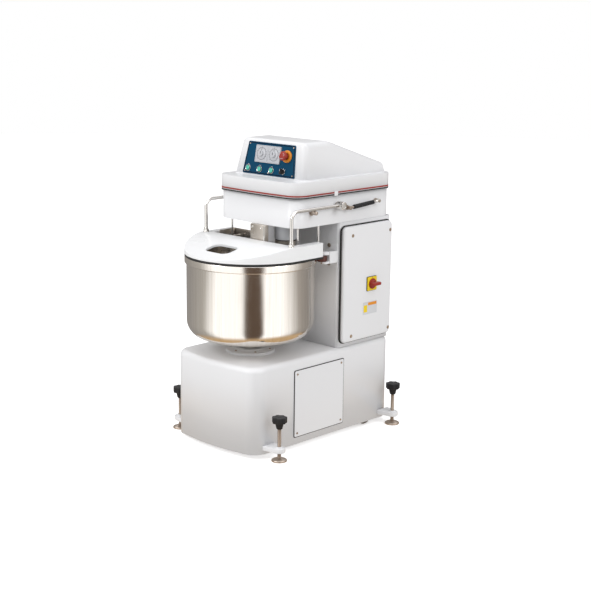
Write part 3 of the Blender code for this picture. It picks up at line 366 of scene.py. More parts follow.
# Colour from tone, roughness from rough and a bump from height.
def joinLook(tree, shader, coords, look, height, tone, rough):
    link = tree.links.new
    mix = addNode(tree, "ShaderNodeMix", data_type='RGBA')
    spread = addNode(tree, "ShaderNodeMapRange")
    spread.inputs["From Min"].default_value = 0.3
    spread.inputs["From Max"].default_value = 0.7
    link(tone, spread.inputs["Value"])
    link(spread.outputs[0], mix.inputs["Factor"])
    mix.inputs["A"].default_value = (*look["colour"], 1.0)
    mix.inputs["B"].default_value = (*look["other"], 1.0)
    dust = placeGroup(tree, settledDust, coords, Amount=look.get("dust", 0.0))
    link(mix.outputs["Result"], dust.inputs["Color"])
    link(dust.outputs["Color"], shader.inputs["Base Color"])
    gloss = addNode(tree, "ShaderNodeMapRange")
    gloss.inputs["From Min"].default_value = 0.3
    gloss.inputs["From Max"].default_value = 0.7
    gloss.inputs["To Min"].default_value = look["rough"][0]
    gloss.inputs["To Max"].default_value = look["rough"][1]
    link(rough, gloss.inputs["Value"])
    link(gloss.outputs[0], shader.inputs["Roughness"])
    bump = addNode(tree, "ShaderNodeBump")
    bump.inputs["Strength"].default_value = look["bump"]
    bump.inputs["Distance"].default_value = look["relief"]
    link(height, bump.inputs["Height"])
    link(bump.outputs["Normal"], shader.inputs["Normal"])


def grainMaterial(name, look):
    material, tree, shader, coords = startMaterial(name, look)
    grain = placeGroup(tree, mouldedGrain, coords, Scale=look["scale"])
    cloud = grain.outputs["Cloud"]
    joinLook(tree, shader, coords, look, grain.outputs["Height"], cloud, cloud)
    return material


def brushedMaterial(name, look):
    material, tree, shader, coords = startMaterial(name, look)
    lines = placeGroup(tree, straightBrushing, coords, Stretch=look["stretch"])
    joinLook(tree, shader, coords, look, lines.outputs["Lines"], lines.outputs["Lines"],
             lines.outputs["Cloud"])
    return material


def turnedMaterial(name, look):
    material, tree, shader, coords = startMaterial(name, look)
    turned = placeGroup(tree, turnedBrushing, coords, Centre=look["centre"], Fine=look["fine"])
    # The tone follows the upright streaks: painted reflection streaks on the steel.
    joinLook(tree, shader, coords, look, turned.outputs["Lines"], turned.outputs["Streaks"],
             turned.outputs["Cloud"])
    return material


whitePaint = grainMaterial("whitePaint", {
    "colour": (0.80, 0.805, 0.82), "other": (0.79, 0.795, 0.811), "rough": (0.28, 0.33), "coat": 0.06,
    "scale": 260.0, "bump": 0.10, "relief": 0.0004, "dust": 0.04})
lidPlastic = grainMaterial("lidPlastic", {
    "colour": (0.86, 0.87, 0.88), "other": (0.83, 0.84, 0.85), "rough": (0.26, 0.38), "coat": 0.15,
    "scale": 420.0, "bump": 0.06, "relief": 0.0003, "dust": 0.10})
greyPaint = grainMaterial("greyPaint", {
    "colour": (0.62, 0.635, 0.66), "other": (0.56, 0.575, 0.60), "rough": (0.34, 0.48),
    "scale": 300.0, "bump": 0.12, "relief": 0.0004, "dust": 0.15})
motorPaint = grainMaterial("motorPaint", {
    "colour": (0.16, 0.19, 0.22), "other": (0.12, 0.145, 0.17), "rough": (0.40, 0.58),
    "scale": 340.0, "bump": 0.15, "relief": 0.0005, "dust": 0.30})
castIron = grainMaterial("castIron", {
    "colour": (0.13, 0.13, 0.135), "other": (0.19, 0.17, 0.15), "rough": (0.42, 0.62), "metal": 0.8,
    "scale": 700.0, "bump": 0.30, "relief": 0.0004})
panelBlue = grainMaterial("panelBlue", {
    "colour": (0.004, 0.062, 0.128), "other": (0.005, 0.052, 0.108), "rough": (0.30, 0.42),
    "scale": 1500.0, "bump": 0.10, "relief": 0.0002, "specular": 0.06})
panelBorder = grainMaterial("panelBorder", {
    "colour": (0.004, 0.010, 0.024), "other": (0.006, 0.016, 0.034), "rough": (0.34, 0.44),
    "scale": 1500.0, "bump": 0.10, "relief": 0.0002, "specular": 0.06})
timerGrey = grainMaterial("timerGrey", {
    "colour": (0.56, 0.57, 0.60), "other": (0.46, 0.47, 0.50), "rough": (0.30, 0.42),
    "scale": 1400.0, "bump": 0.10, "relief": 0.0002})
# Black for printed scales and marks. It is also used as painted shade in the louvre openings.
inkAndShadeBlack = grainMaterial("inkAndShadeBlack", {
    "colour": (0.030, 0.032, 0.036), "other": (0.045, 0.047, 0.052), "rough": (0.45, 0.60),
    "scale": 1200.0, "bump": 0.08, "relief": 0.0001})
blackPlastic = grainMaterial("blackPlastic", {
    "colour": (0.016, 0.016, 0.018), "other": (0.028, 0.027, 0.027), "rough": (0.38, 0.56),
    "scale": 900.0, "bump": 0.22, "relief": 0.0003, "dust": 0.04, "specular": 0.15})
blackRubber = grainMaterial("blackRubber", {
    "colour": (0.012, 0.012, 0.012), "other": (0.022, 0.021, 0.020), "rough": (0.60, 0.78),
    "scale": 800.0, "bump": 0.25, "relief": 0.0003, "dust": 0.12})
tyreRubber = grainMaterial("tyreRubber", {
    "colour": (0.115, 0.105, 0.090), "other": (0.155, 0.140, 0.118), "rough": (0.62, 0.80),
    "scale": 600.0, "bump": 0.30, "relief": 0.0004, "dust": 0.25})
redPlastic = grainMaterial("redPlastic", {
    "colour": (0.34, 0.030, 0.020), "other": (0.27, 0.038, 0.028), "rough": (0.34, 0.48), "specular": 0.25,
    "scale": 900.0, "bump": 0.14, "relief": 0.0002, "dust": 0.06})
orangePlastic = grainMaterial("orangePlastic", {
    "colour": (0.80, 0.29, 0.015), "other": (0.70, 0.24, 0.015), "rough": (0.32, 0.45), "coat": 0.1,
    "scale": 900.0, "bump": 0.12, "relief": 0.0002})
yellowPlastic = grainMaterial("yellowPlastic", {
    "colour": (0.90, 0.66, 0.012), "other": (0.82, 0.58, 0.012), "rough": (0.30, 0.44), "coat": 0.1,
    "scale": 900.0, "bump": 0.12, "relief": 0.0002})
greenPlastic = grainMaterial("greenPlastic", {
    "colour": (0.09, 0.56, 0.42), "other": (0.07, 0.48, 0.36), "rough": (0.22, 0.34), "coat": 0.2,
    "scale": 900.0, "bump": 0.08, "relief": 0.0002})
rollerNylon = grainMaterial("rollerNylon", {
    "colour": (0.10, 0.030, 0.020), "other": (0.07, 0.022, 0.016), "rough": (0.40, 0.55),
    "scale": 700.0, "bump": 0.20, "relief": 0.0003})
chromePlate = grainMaterial("chromePlate", {
    "colour": (0.78, 0.76, 0.73), "other": (0.70, 0.68, 0.65), "rough": (0.06, 0.17), "metal": 1.0,
    "scale": 90.0, "bump": 0.03, "relief": 0.0004})
zincPlate = grainMaterial("zincPlate", {
    "colour": (0.50, 0.44, 0.38), "other": (0.36, 0.29, 0.24), "rough": (0.26, 0.44), "metal": 1.0,
    "scale": 520.0, "bump": 0.20, "relief": 0.0003})
screwBronze = grainMaterial("screwBronze", {
    "colour": (0.42, 0.33, 0.24), "other": (0.27, 0.20, 0.15), "rough": (0.30, 0.46), "metal": 1.0,
    "scale": 700.0, "bump": 0.15, "relief": 0.0002})
brushedSteel = brushedMaterial("brushedSteel", {
    "colour": (0.66, 0.61, 0.55), "other": (0.42, 0.38, 0.34), "rough": (0.22, 0.40), "metal": 1.0,
    "stretch": (260.0, 260.0, 1800.0), "bump": 0.16, "relief": 0.0003})
bowlCentre = (0.0, (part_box("mixing_bowl")[0].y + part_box("mixing_bowl")[1].y) / 2, 0.0)
bowlSteel = turnedMaterial("bowlSteel", {
    "colour": (0.86, 0.82, 0.77), "other": (0.74, 0.69, 0.63), "rough": (0.12, 0.20), "metal": 1.0,
    "centre": bowlCentre, "fine": 2600.0, "bump": 0.10, "relief": 0.0002})
spiralSteel = grainMaterial("spiralSteel", {
    "colour": (0.66, 0.63, 0.60), "other": (0.55, 0.52, 0.48), "rough": (0.14, 0.30), "metal": 1.0,
    "scale": 160.0, "bump": 0.10, "relief": 0.0004})
labelGrey = grainMaterial("labelGrey", {
    "colour": (0.66, 0.67, 0.69), "other": (0.60, 0.61, 0.63), "rough": (0.34, 0.46),
    "scale": 1200.0, "bump": 0.06, "relief": 0.0001})
print("stage: finishes")


# Modelling helpers.

def arcPoints(centre, radius, start, end, steps):
    turns = [radians(start + (end - start) * step / steps) for step in range(steps + 1)]
    return [(centre[0] + radius * cos(turn), centre[1] + radius * sin(turn)) for turn in turns]


def plateOutline(low, high, corner, steps=6):
    outline = arcPoints((high[0] - corner, low[1] + corner), corner, -90, 0, steps)
    outline += arcPoints((high[0] - corner, high[1] - corner), corner, 0, 90, steps)
    outline += arcPoints((low[0] + corner, high[1] - corner), corner, 90, 180, steps)
    return outline + arcPoints((low[0] + corner, low[1] + corner), corner, 180, 270, steps)


# Plan of a casing, with a front that bows outwards between its corners.
def casingOutline(half, front, rear, corner, bow=0.0, steps=12):
    inner = half - corner
    count = 24 if bow else 1
    across = [-inner + 2 * inner * step / count for step in range(count + 1)]
    outline = [(x, front - bow * (1 - (x / inner) ** 2)) for x in across]
    outline += arcPoints((inner, front + corner), corner, -90, 0, steps)[1:]
    outline += arcPoints((inner, rear - corner), corner, 0, 90, steps)
    outline += arcPoints((-inner, rear - corner), corner, 90, 180, steps)
    return outline + arcPoints((-inner, front + corner), corner, 180, 270, steps)[:-1]


def prism(outline, low, high):
    bm = bmesh.new()
    face = bm.faces.new([bm.verts.new((x, y, low)) for x, y in outline])
    made = bmesh.ops.extrude_face_region(bm, geom=[face])
    lifted = [item for item in made["geom"] if isinstance(item, bmesh.types.BMVert)]
    bmesh.ops.translate(bm, vec=(0, 0, high - low), verts=lifted)
    bmesh.ops.recalc_face_normals(bm, faces=bm.faces)
    return bm


def roundOff(bm, edges, width, segments=3):
    bmesh.ops.bevel(bm, geom=edges, offset=width, offset_type='OFFSET', segments=segments,
                    profile=0.5, affect='EDGES', clamp_overlap=True, material=-1)


# Sharp edges, or only those that lie between two heights.
def sharpEdges(bm, low=None, high=None, angle=0.6):
    found = [edge for edge in bm.edges if edge.calc_face_angle(0) > angle]
    if low is None:
        return found
    return [edge for edge in found if all(low <= vert.co.z <= high for vert in edge.verts)]


# Open a body by taking away its faces at one height.
def dropLevel(bm, z):
    flat = [face for face in bm.faces if all(abs(vert.co.z - z) < 0.00001 for vert in face.verts)]
    bmesh.ops.delete(bm, geom=flat, context='FACES')


def block(low, high, bevel=0.0, segments=2):
    bm = bmesh.new()
    size = Vector(high) - Vector(low)
    place = Matrix.Translation((Vector(high) + Vector(low)) / 2)
    bmesh.ops.create_cube(bm, size=1.0, matrix=place @ Matrix.Diagonal((*size, 1.0)))
    if bevel:
        roundOff(bm, list(bm.edges), bevel, segments)
    return bm


# A turned body about Z, from its profile of radius and height.
def spun(profile, steps=96):
    bm = bmesh.new()
    verts = [bm.verts.new((radius, 0.0, z)) for radius, z in profile]
    edges = [bm.edges.new(pair) for pair in zip(verts, verts[1:])]
    bmesh.ops.spin(bm, geom=verts + edges, axis=(0, 0, 1), cent=(0, 0, 0), angle=2 * pi,
                   steps=steps, use_merge=True)
    bmesh.ops.remove_doubles(bm, verts=bm.verts, dist=0.00002)
    bmesh.ops.recalc_face_normals(bm, faces=bm.faces)
    return bm


# A skin over rings of points that all have the same count.
def lofted(rings, capped=True):
    bm = bmesh.new()
    loops = [[bm.verts.new(point) for point in ring] for ring in rings]
    for first, second in zip(loops, loops[1:]):
        for index in range(len(first)):
            bm.faces.new((first[index - 1], first[index], second[index], second[index - 1]))
    if capped:
        bm.faces.new(loops[0])
        bm.faces.new(loops[-1])
    bmesh.ops.recalc_face_normals(bm, faces=bm.faces)
    return bm


# Stands something made along Z at a place, looking in a direction.
def facing(place, direction):
    turn = Vector((0, 0, 1)).rotation_difference(Vector(direction)).to_matrix().to_4x4()
    return Matrix.Translation(place) @ turn


# A closed round bar along points, carried forward ring by ring.
def tube(points, radius, sides=20):
    points = [Vector(point) for point in points]
    bm = bmesh.new()
    heading = (points[1] - points[0]).normalized()
    bmesh.ops.create_circle(bm, cap_ends=False, segments=sides, radius=radius,
                            matrix=facing(points[0], heading))
    ring = list(bm.edges)
    for index in range(1, len(points)):
        last = min(index + 1, len(points) - 1)
        ahead = (points[last] - points[index - 1]).normalized()
        made = bmesh.ops.extrude_edge_only(bm, edges=ring)["geom"]
        verts = [item for item in made if isinstance(item, bmesh.types.BMVert)]
        ring = [item for item in made if isinstance(item, bmesh.types.BMEdge)]
        swing = heading.rotation_difference(ahead).to_matrix()
        bmesh.ops.rotate(bm, cent=points[index - 1], matrix=swing, verts=verts)
        bmesh.ops.translate(bm, vec=points[index] - points[index - 1], verts=verts)
        heading = ahead
    bmesh.ops.holes_fill(bm, edges=[edge for edge in bm.edges if edge.is_boundary])
    bmesh.ops.recalc_face_normals(bm, faces=bm.faces)
    return bm


def borer(radius):
    return [(0.0, 0.02), (radius, 0.02), (radius, -0.02), (0.0, -0.02)]


def turnedAt(profile, x, y, steps=48):
    body = spun(profile, steps)
    body.transform(Matrix.Translation((x, y, 0)))
    return body


# Adds the other body to this one, at its place.
def merge(bm, other, matrix=None):
    mesh = bpy.data.meshes.new("passing")
    if matrix:
        other.transform(matrix)
    other.to_mesh(mesh)
    other.free()
    bm.from_mesh(mesh)
    bpy.data.meshes.remove(mesh)
    return bm


# A low round head with a recess.
def socketScrew(bm, place, direction, radius, height):
    head = bmesh.new()
    bmesh.ops.create_cone(head, cap_ends=True, segments=18, radius1=radius, radius2=radius * 0.78,
                          depth=height, matrix=Matrix.Translation((0, 0, height / 2)))
    top = [face for face in head.faces if face.normal.z > 0.9]
    bmesh.ops.inset_individual(head, faces=top, thickness=radius * 0.34, depth=-height * 0.5)
    merge(bm, head, facing(place, direction))


# A hexagon head on its washer.
def hexHead(bm, place, direction, radius, height):
    head = bmesh.new()
    bmesh.ops.create_cone(head, cap_ends=True, segments=28, radius1=radius * 1.25,
                          radius2=radius * 1.25, depth=height * 0.25,
                          matrix=Matrix.Translation((0, 0, height * 0.125)))
    nut = bmesh.new()
    bmesh.ops.create_cone(nut, cap_ends=True, segments=6, radius1=radius, radius2=radius,
                          depth=height * 0.8, matrix=Matrix.Translation((0, 0, height * 0.6)))
    roundOff(nut, sharpEdges(nut, height * 0.9, height * 1.1), height * 0.12, 1)
    merge(head, nut)
    merge(bm, head, facing(place, direction))


def addPiece(name, bm, material, body="root", replaced=(), wall=0.0, angle=38):
    bmesh.ops.recalc_face_normals(bm, faces=bm.faces)
    mesh = bpy.data.meshes.new(name)
    bm.to_mesh(mesh)
    bm.free()
    mesh.shade_smooth()
    mesh.set_sharp_from_angle(angle=radians(angle))
    mesh.materials.append(material)
    piece = bpy.data.objects.new(name, mesh)
    bpy.context.scene.collection.objects.link(piece)
    if wall:
        sheet = piece.modifiers.new("Wall", 'SOLIDIFY')
        sheet.thickness = wall
        sheet.offset = -1.0
        sheet.use_even_offset = True
    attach(piece, body)
    if replaced:
        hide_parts(*replaced)
    return piece


# The first body less the second, as a new body.
def cutAway(bm, cutter):
    holders = []
    for label, body in (("blank", bm), ("tool", cutter)):
        mesh = bpy.data.meshes.new(label)
        body.to_mesh(mesh)
        body.free()
        holder = bpy.data.objects.new(label, mesh)
        bpy.context.scene.collection.objects.link(holder)
        holders.append(holder)
    step = holders[0].modifiers.new("Cut", 'BOOLEAN')
    step.operation = 'DIFFERENCE'
    step.object = holders[1]
    bpy.context.view_layer.update()
    graph = bpy.context.evaluated_depsgraph_get()
    result = bpy.data.meshes.new_from_object(holders[0].evaluated_get(graph))
    made = bmesh.new()
    made.from_mesh(result)
    for holder in holders:
        bpy.data.objects.remove(holder)
    bpy.data.meshes.remove(result)
    bmesh.ops.remove_doubles(made, verts=made.verts, dist=0.00001)
    return made


# Casings.

baseLook = {"corner": 0.071, "bow": 0.017, "topEdge": 0.024, "wall": 0.003}


def makeBase():
    low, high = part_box("base_casing")
    look = baseLook
    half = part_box("base_access_panel")[0].x - 0.0003
    outline = casingOutline(half, low.y + look["bow"], high.y, look["corner"], look["bow"], 16)
    bm = prism(outline, low.z, high.z)
    roundOff(bm, sharpEdges(bm, high.z - 0.001, high.z + 0.001), look["topEdge"], 8)
    dropLevel(bm, low.z)
    addPiece("base_shell", bm, whitePaint, replaced=["base_casing"], wall=look["wall"])
    makeFootLugs(half)
    studs = bmesh.new()
    for side in ("left", "right"):
        wheelLow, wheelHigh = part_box("rear_wheel_" + side)
        middle = (wheelLow + wheelHigh) / 2
        reach = half - look["wall"] if middle.x > 0 else -half + look["wall"]
        inner = wheelLow.x - 0.012 if middle.x > 0 else wheelHigh.x + 0.012
        merge(studs, tube([(inner, middle.y, middle.z), (reach, middle.y, middle.z)], 0.008))
        clip = spun([(0.0, 0.003), (0.013, 0.002), (0.013, 0.0), (0.0, 0.0)], 24)
        outwards = 1 if middle.x > 0 else -1
        merge(studs, clip, facing((inner, middle.y, middle.z), (-outwards, 0, 0)))
    addPiece("wheel_studs", studs, zincPlate, replaced=["base_casing"])


# Thick lugs welded to the side walls, each with a bore and a threaded boss.
def makeFootLugs(half):
    for row in ("front", "rear"):
        for side, sign in (("left", -1), ("right", 1)):
            name = row + "_" + side
            low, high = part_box("foot_spindle_" + name)
            x, y = (low.x + high.x) / 2, (low.y + high.y) / 2
            inner = half - (0.0 if row == "rear" else 0.008)
            outline = [(inner, -0.036), (abs(x), -0.026)]
            outline += arcPoints((abs(x), 0.0), 0.026, -90, 90, 18)[1:-1]
            outline += [(abs(x), 0.026), (inner, 0.036)]
            bm = prism(outline, 0.038, 0.058)
            roundOff(bm, sharpEdges(bm), 0.0025, 3)
            bm = cutAway(bm,
                         turnedAt([(0.0, 0.08), (0.0087, 0.08), (0.0087, 0.02), (0.0, 0.02)], abs(x), 0.0))
            boss = spun([(0.0087, 0.0575), (0.0087, 0.063), (0.0145, 0.063), (0.0155, 0.061),
                         (0.0155, 0.0575),
                         (0.0087, 0.0575)], 40)
            merge(bm, boss, Matrix.Translation((abs(x), 0, 0)))
            bm.transform(Matrix.Translation((0, y, 0)) @ Matrix.Diagonal((sign, 1, 1, 1)))
            addPiece("foot_lug_" + name, bm, whitePaint, replaced=["base_casing"])


accessLook = {"sheet": 0.0014, "gasketShadeMargin": 0.0034, "screwInset": 0.015, "screwRadius": 0.0048}


def makeAccessPanel():
    look = accessLook
    low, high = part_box("base_access_panel")
    corners = ((low.y, low.z), (high.y, high.z))
    sheet = prism(plateOutline(*corners, 0.006), 0.0, look["sheet"])
    roundOff(sheet, sharpEdges(sheet, look["sheet"], look["sheet"]), 0.0008, 2)
    across = Matrix(((0, 0, 1, 0), (1, 0, 0, 0), (0, 1, 0, 0), (0, 0, 0, 1)))
    sheet.transform(Matrix.Translation((high.x - look["sheet"], 0, 0)) @ across)
    addPiece("access_sheet", sheet, whitePaint, replaced=["base_access_panel"])
    # The black ring reaches past the sheet all round. It is a rubber gasket, widened so that its rim paints
    # the shade of the gap round the panel.
    more = look["gasketShadeMargin"]
    wider = ((low.y - more, low.z - more), (high.y + more, high.z + more))
    gasket = prism(plateOutline(*wider, 0.007), low.x - 0.0002, high.x - look["sheet"])
    gasket.transform(across)
    addPiece("access_gasket_and_gap_shade", gasket, blackRubber, replaced=["base_access_panel"])
    screws = bmesh.new()
    inset = look["screwInset"]
    for y in (low.y + inset, high.y - inset):
        for z in (low.z + inset, high.z - inset):
            socketScrew(screws, (high.x - 0.0002, y, z), (1, 0, 0), look["screwRadius"], 0.0028)
    addPiece("access_screws", screws, screwBronze)


columnLook = {"corner": 0.018, "wall": 0.003}


def makeColumn():
    low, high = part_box("column_casing")
    outline = casingOutline(high.x, low.y, high.y, columnLook["corner"], 0.0, 10)
    bm = prism(outline, low.z, high.z)
    dropLevel(bm, low.z)
    dropLevel(bm, high.z)
    addPiece("column_shell", bm, whitePaint, replaced=["column_casing"],
             wall=columnLook["wall"])


rearLook = {"half": 0.195, "low": 0.440, "high": 0.905, "sheet": 0.0016, "slots": 9, "slotPitch": 0.014,
            "slotHalf": 0.052}


# Screwed sheet on the column's back, with two banks of pressed louvres and a strip of painted shade under
# each.
def makeRearCover():
    look = rearLook
    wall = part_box("column_casing")[1].y
    upright = Matrix(((-1, 0, 0, 0), (0, 0, 1, 0), (0, 1, 0, 0), (0, 0, 0, 1)))
    sheet = prism(plateOutline((-look["half"], look["low"]), (look["half"], look["high"]), 0.008),
                  0.0, look["sheet"])
    roundOff(sheet, sharpEdges(sheet, look["sheet"], look["sheet"]), 0.0008, 2)
    sheet = cutAway(sheet, turnedAt(borer(0.0175), 0.12, 0.47))
    sheet.transform(Matrix.Translation((0, wall, 0)) @ upright)
    addPiece("rear_sheet", sheet, whitePaint)
    louvres = bmesh.new()
    shadows = bmesh.new()
    for middle in (-0.085, 0.085):
        for step in range(look["slots"]):
            z = look["high"] - 0.055 - look["slotPitch"] * step
            hood = prism(arcPoints((0.0, 0.0), 0.0052, 0, 180, 8), -look["slotHalf"], look["slotHalf"])
            roundOff(hood, sharpEdges(hood), 0.0012, 2)
            hood.transform(Matrix(((0, 0, 1, 0), (0, 1, 0, 0), (1, 0, 0, 0), (0, 0, 0, 1))))
            merge(louvres, hood, Matrix.Translation((middle, wall + look["sheet"] - 0.0006, z)))
            # A flat dark strip under each hood stands in for the opening: painted shade, because the sheet is
            # not cut.
            reach = look["slotHalf"] - 0.002
            merge(shadows, block((middle - reach, wall + look["sheet"] - 0.0004, z - 0.0080),
                                 (middle + reach, wall + look["sheet"] + 0.0002, z - 0.0050)))
    addPiece("rear_louvres", louvres, whitePaint)
    addPiece("louvre_opening_shade", shadows, inkAndShadeBlack)
    screws = bmesh.new()
    for x in (-1, 1):
        for z in (look["low"] + 0.014, (look["low"] + look["high"]) / 2, look["high"] - 0.014):
            place = (x * (look["half"] - 0.013), wall + look["sheet"] - 0.0002, z)
            socketScrew(screws, place, (0, 1, 0), 0.0045, 0.0026)
    addPiece("rear_screws", screws, screwBronze)


doorLook = {"corner": 0.022, "edge": 0.010, "wall": 0.002, "screwY": (0.172, 0.422), "screwZ": (0.442, 0.889)}


def makeDoor():
    look = doorLook
    low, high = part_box("cabinet_door")
    across = Matrix(((0, 0, 1, 0), (1, 0, 0, 0), (0, 1, 0, 0), (0, 0, 0, 1)))
    bm = prism(plateOutline((low.y, low.z), (high.y, high.z), look["corner"], 12), low.x, high.x)
    roundOff(bm, sharpEdges(bm, high.x - 0.001, high.x + 0.001), look["edge"], 7)
    dropLevel(bm, low.x)
    bm.transform(across)
    addPiece("door_pan", bm, whitePaint, replaced=["cabinet_door"], wall=look["wall"])
    screws = bmesh.new()
    for y in look["screwY"]:
        for z in look["screwZ"]:
            dish = spun([(0.0, 0.0010), (0.0072, 0.0010), (0.0080, 0.0), (0.0, 0.0)], 28)
            merge(screws, dish, facing((high.x - 0.0002, y, z), (1, 0, 0)))
            socketScrew(screws, (high.x + 0.0006, y, z), (1, 0, 0), 0.0052, 0.0030)
    addPiece("door_screws", screws, screwBronze)
    gasketLow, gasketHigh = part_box("door_gasket")
    outer = plateOutline((gasketLow.y, gasketLow.z), (gasketHigh.y, gasketHigh.z), look["corner"] + 0.005, 12)
    ring = prism(outer, gasketLow.x, gasketHigh.x)
    margin = 0.017
    inner = plateOutline((gasketLow.y + margin, gasketLow.z + margin),
                         (gasketHigh.y - margin, gasketHigh.z - margin), 0.014, 8)
    ring = cutAway(ring, prism(inner, gasketLow.x - 0.01, gasketHigh.x + 0.01))
    roundOff(ring, sharpEdges(ring, angle=1.0), 0.0012, 2)
    ring.transform(across)
    addPiece("door_gasket_ring", ring, blackRubber, replaced=["door_gasket"])


plateLook = {"y": (0.247, 0.341), "z": (0.525, 0.581), "thick": 0.0006}


# A blank two-tone plate on the door.
def makeBlankPlate():
    look = plateLook
    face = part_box("cabinet_door")[1].x
    middle = look["y"][0] + 0.034
    back = block((face - 0.0001, look["y"][0], look["z"][0]),
                 (face + look["thick"], look["y"][1], look["z"][1]), 0.0002, 1)
    addPiece("blank_plate", back, labelGrey)
    bar = block((face + look["thick"] - 0.0001, middle, look["z"][1] - 0.017),
                (face + look["thick"] + 0.0002, look["y"][1] - 0.003, look["z"][1] - 0.004))
    addPiece("blank_plate_bar", bar, orangePlastic)
    patch = block((face + look["thick"] - 0.0001, look["y"][0] + 0.005, look["z"][0] + 0.010),
                  (face + look["thick"] + 0.0002, middle - 0.006, look["z"][1] - 0.014))
    addPiece("blank_plate_patch", patch, yellowPlastic)


headLook = {"corner": 0.056, "bow": 0.007, "lowEdge": 0.005, "wall": 0.003, "spiralAxis": (0.088, -0.065),
            "spiralBore": 0.0485}


def makeHead():
    look = headLook
    low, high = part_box("head_casing")
    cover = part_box("top_cover")
    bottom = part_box("column_casing")[1].z + 0.0003
    outline = casingOutline(high.x, low.y + look["bow"], high.y, look["corner"], look["bow"], 16)
    bm = prism(outline, bottom, high.z)
    roundOff(bm, sharpEdges(bm, bottom, bottom), look["lowEdge"], 4)
    x, y = headLook["spiralAxis"]
    bore = headLook["spiralBore"]
    bm = cutAway(bm, turnedAt([(0.0, bottom + 0.03), (bore, bottom + 0.03), (bore, bottom - 0.01),
                               (0.0, bottom - 0.01)], x, y))
    dropLevel(bm, bottom + 0.03)
    dropLevel(bm, cover[0].z - 0.0003)
    addPiece("head_shell", bm, whitePaint, replaced=["head_casing"], wall=look["wall"])
    lug = block((-0.008, -0.1577, low.z), (0.0755, -0.122, bottom + 0.001), 0.003, 3)
    addPiece("breaker_lug", lug, whitePaint, replaced=["head_casing"])


coverLook = {"corner": 0.063, "bow": 0.007, "ledge": 1.141, "ledgeEdge": 0.010, "hoodHalf": 0.214,
             "taper": 0.110, "hoodEdge": 0.026, "fillet": 0.007}
panelTilt = radians(10.7)
panelNormal = Vector((0, -cos(panelTilt), sin(panelTilt)))


# Side outline of the hood as (y, z) corners with their radii: foot, back, long slope, crown, panel.
def hoodCorners(top):
    ledge = coverLook["ledge"]
    panelLow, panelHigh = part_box("control_panel")
    middle = (panelLow + panelHigh) / 2 - panelNormal * 0.0018
    lean = sin(panelTilt) / cos(panelTilt)
    corners = [((0.448, ledge - 0.02), 0.0), ((0.4395, 1.1812), 0.020), ((0.0947, top), 0.090)]
    corners.append(((middle.y + (top - middle.z) * lean, top), 0.021))
    corners.append(((middle.y + (ledge - 0.02 - middle.z) * lean, ledge - 0.02), 0.0))
    return corners


# The outline moved inwards by an inset, each corner with its own radius and a fixed number of steps.
def insetOutline(corners, inset, steps=8):
    count = len(corners)
    points = [Vector(point) for point, radius in corners]
    outline = []
    for index, (point, radius) in enumerate(corners):
        here = points[index]
        back = (here - points[index - 1]).normalized()
        ahead = (points[(index + 1) % count] - here).normalized()
        inwards = (Vector((-back.y, back.x)), Vector((-ahead.y, ahead.x)))
        half = back.angle(ahead) / 2
        bisector = (inwards[0] + inwards[1]).normalized()
        if radius == 0.0:
            outline.append(tuple(here + inwards[1 if index == 0 else 0] * inset))
            continue
        rounding = max(radius - inset, 0.0008)
        corner = here + bisector * (inset / cos(half))
        centre = corner + bisector * (rounding / cos(half))
        for step in range(steps + 1):
            share = step / steps
            aim = (-inwards[0]).lerp(-inwards[1], share)
            outline.append(tuple(centre + aim.normalized() * rounding))
    return outline


def makeCover():
    look = coverLook
    low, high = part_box("top_cover")
    outline = casingOutline(high.x, low.y + look["bow"], high.y, look["corner"], look["bow"], 16)
    band = prism(outline, low.z, look["ledge"])
    roundOff(band, sharpEdges(band, look["ledge"], look["ledge"]), look["ledgeEdge"], 5)
    dropLevel(band, low.z)
    addPiece("cover_band", band, whitePaint, replaced=["top_cover"], wall=0.003)
    corners = hoodCorners(high.z)
    radius = look["hoodEdge"]
    steps = 8
    rings = []
    for step in range(steps + 1):
        turn = pi / 2 * step / steps
        outline = insetOutline(corners, radius * (1 - sin(turn)))
        rings.append((look["hoodHalf"] - radius * (1 - cos(turn)), outline))
    across = [(-reach, outline) for reach, outline in rings]
    across += [(reach, outline) for reach, outline in reversed(rings)]
    stations = []
    for reach, outline in across:
        stations.append([hoodPoint(reach, y, z, high.z) for y, z in outline])
    hood = lofted(stations)
    low = look["ledge"] - 0.004
    bmesh.ops.bisect_plane(hood, geom=list(hood.verts) + list(hood.edges) + list(hood.faces),
                           plane_co=(0, 0, low), plane_no=(0, 0, -1), clear_outer=True)
    addPiece("cover_hood", hood, whitePaint, replaced=["top_cover"], wall=0.003, angle=32)
    makeHoodFoot()


def hoodPoint(x, y, z, top):
    ledge = coverLook["ledge"]
    return (x * (1 - coverLook["taper"] * (z - ledge) / (top - ledge)), y, z)


# Soft hollow curve where the hood meets the ledge.
def makeHoodFoot():
    look = coverLook
    corners = hoodCorners(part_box("top_cover")[1].z)
    lean = sin(panelTilt) / cos(panelTilt)
    front = corners[4][0][0] + 0.02 * lean
    back = corners[0][0][0]
    rings = []
    for step in range(7):
        turn = pi / 2 * step / 6
        out = look["fillet"] * (1 - sin(turn)) - 0.0004
        rise = look["fillet"] * (1 - cos(turn))
        half = look["hoodHalf"] + out - rise * 0.15
        outline = plateOutline((-half, front - out + rise * lean), (half, back + out - rise * 0.2),
                               look["hoodEdge"] + out, 8)
        rings.append([(x, y, look["ledge"] - 0.0003 + rise) for x, y in outline])
    foot = lofted(rings, capped=False)
    addPiece("hood_foot", foot, whitePaint, replaced=["top_cover"])


stripeLook = {"red": (1.0815, 1.0877), "black": (1.0728, 1.0784), "proud": 0.0007, "clipY": 0.078}


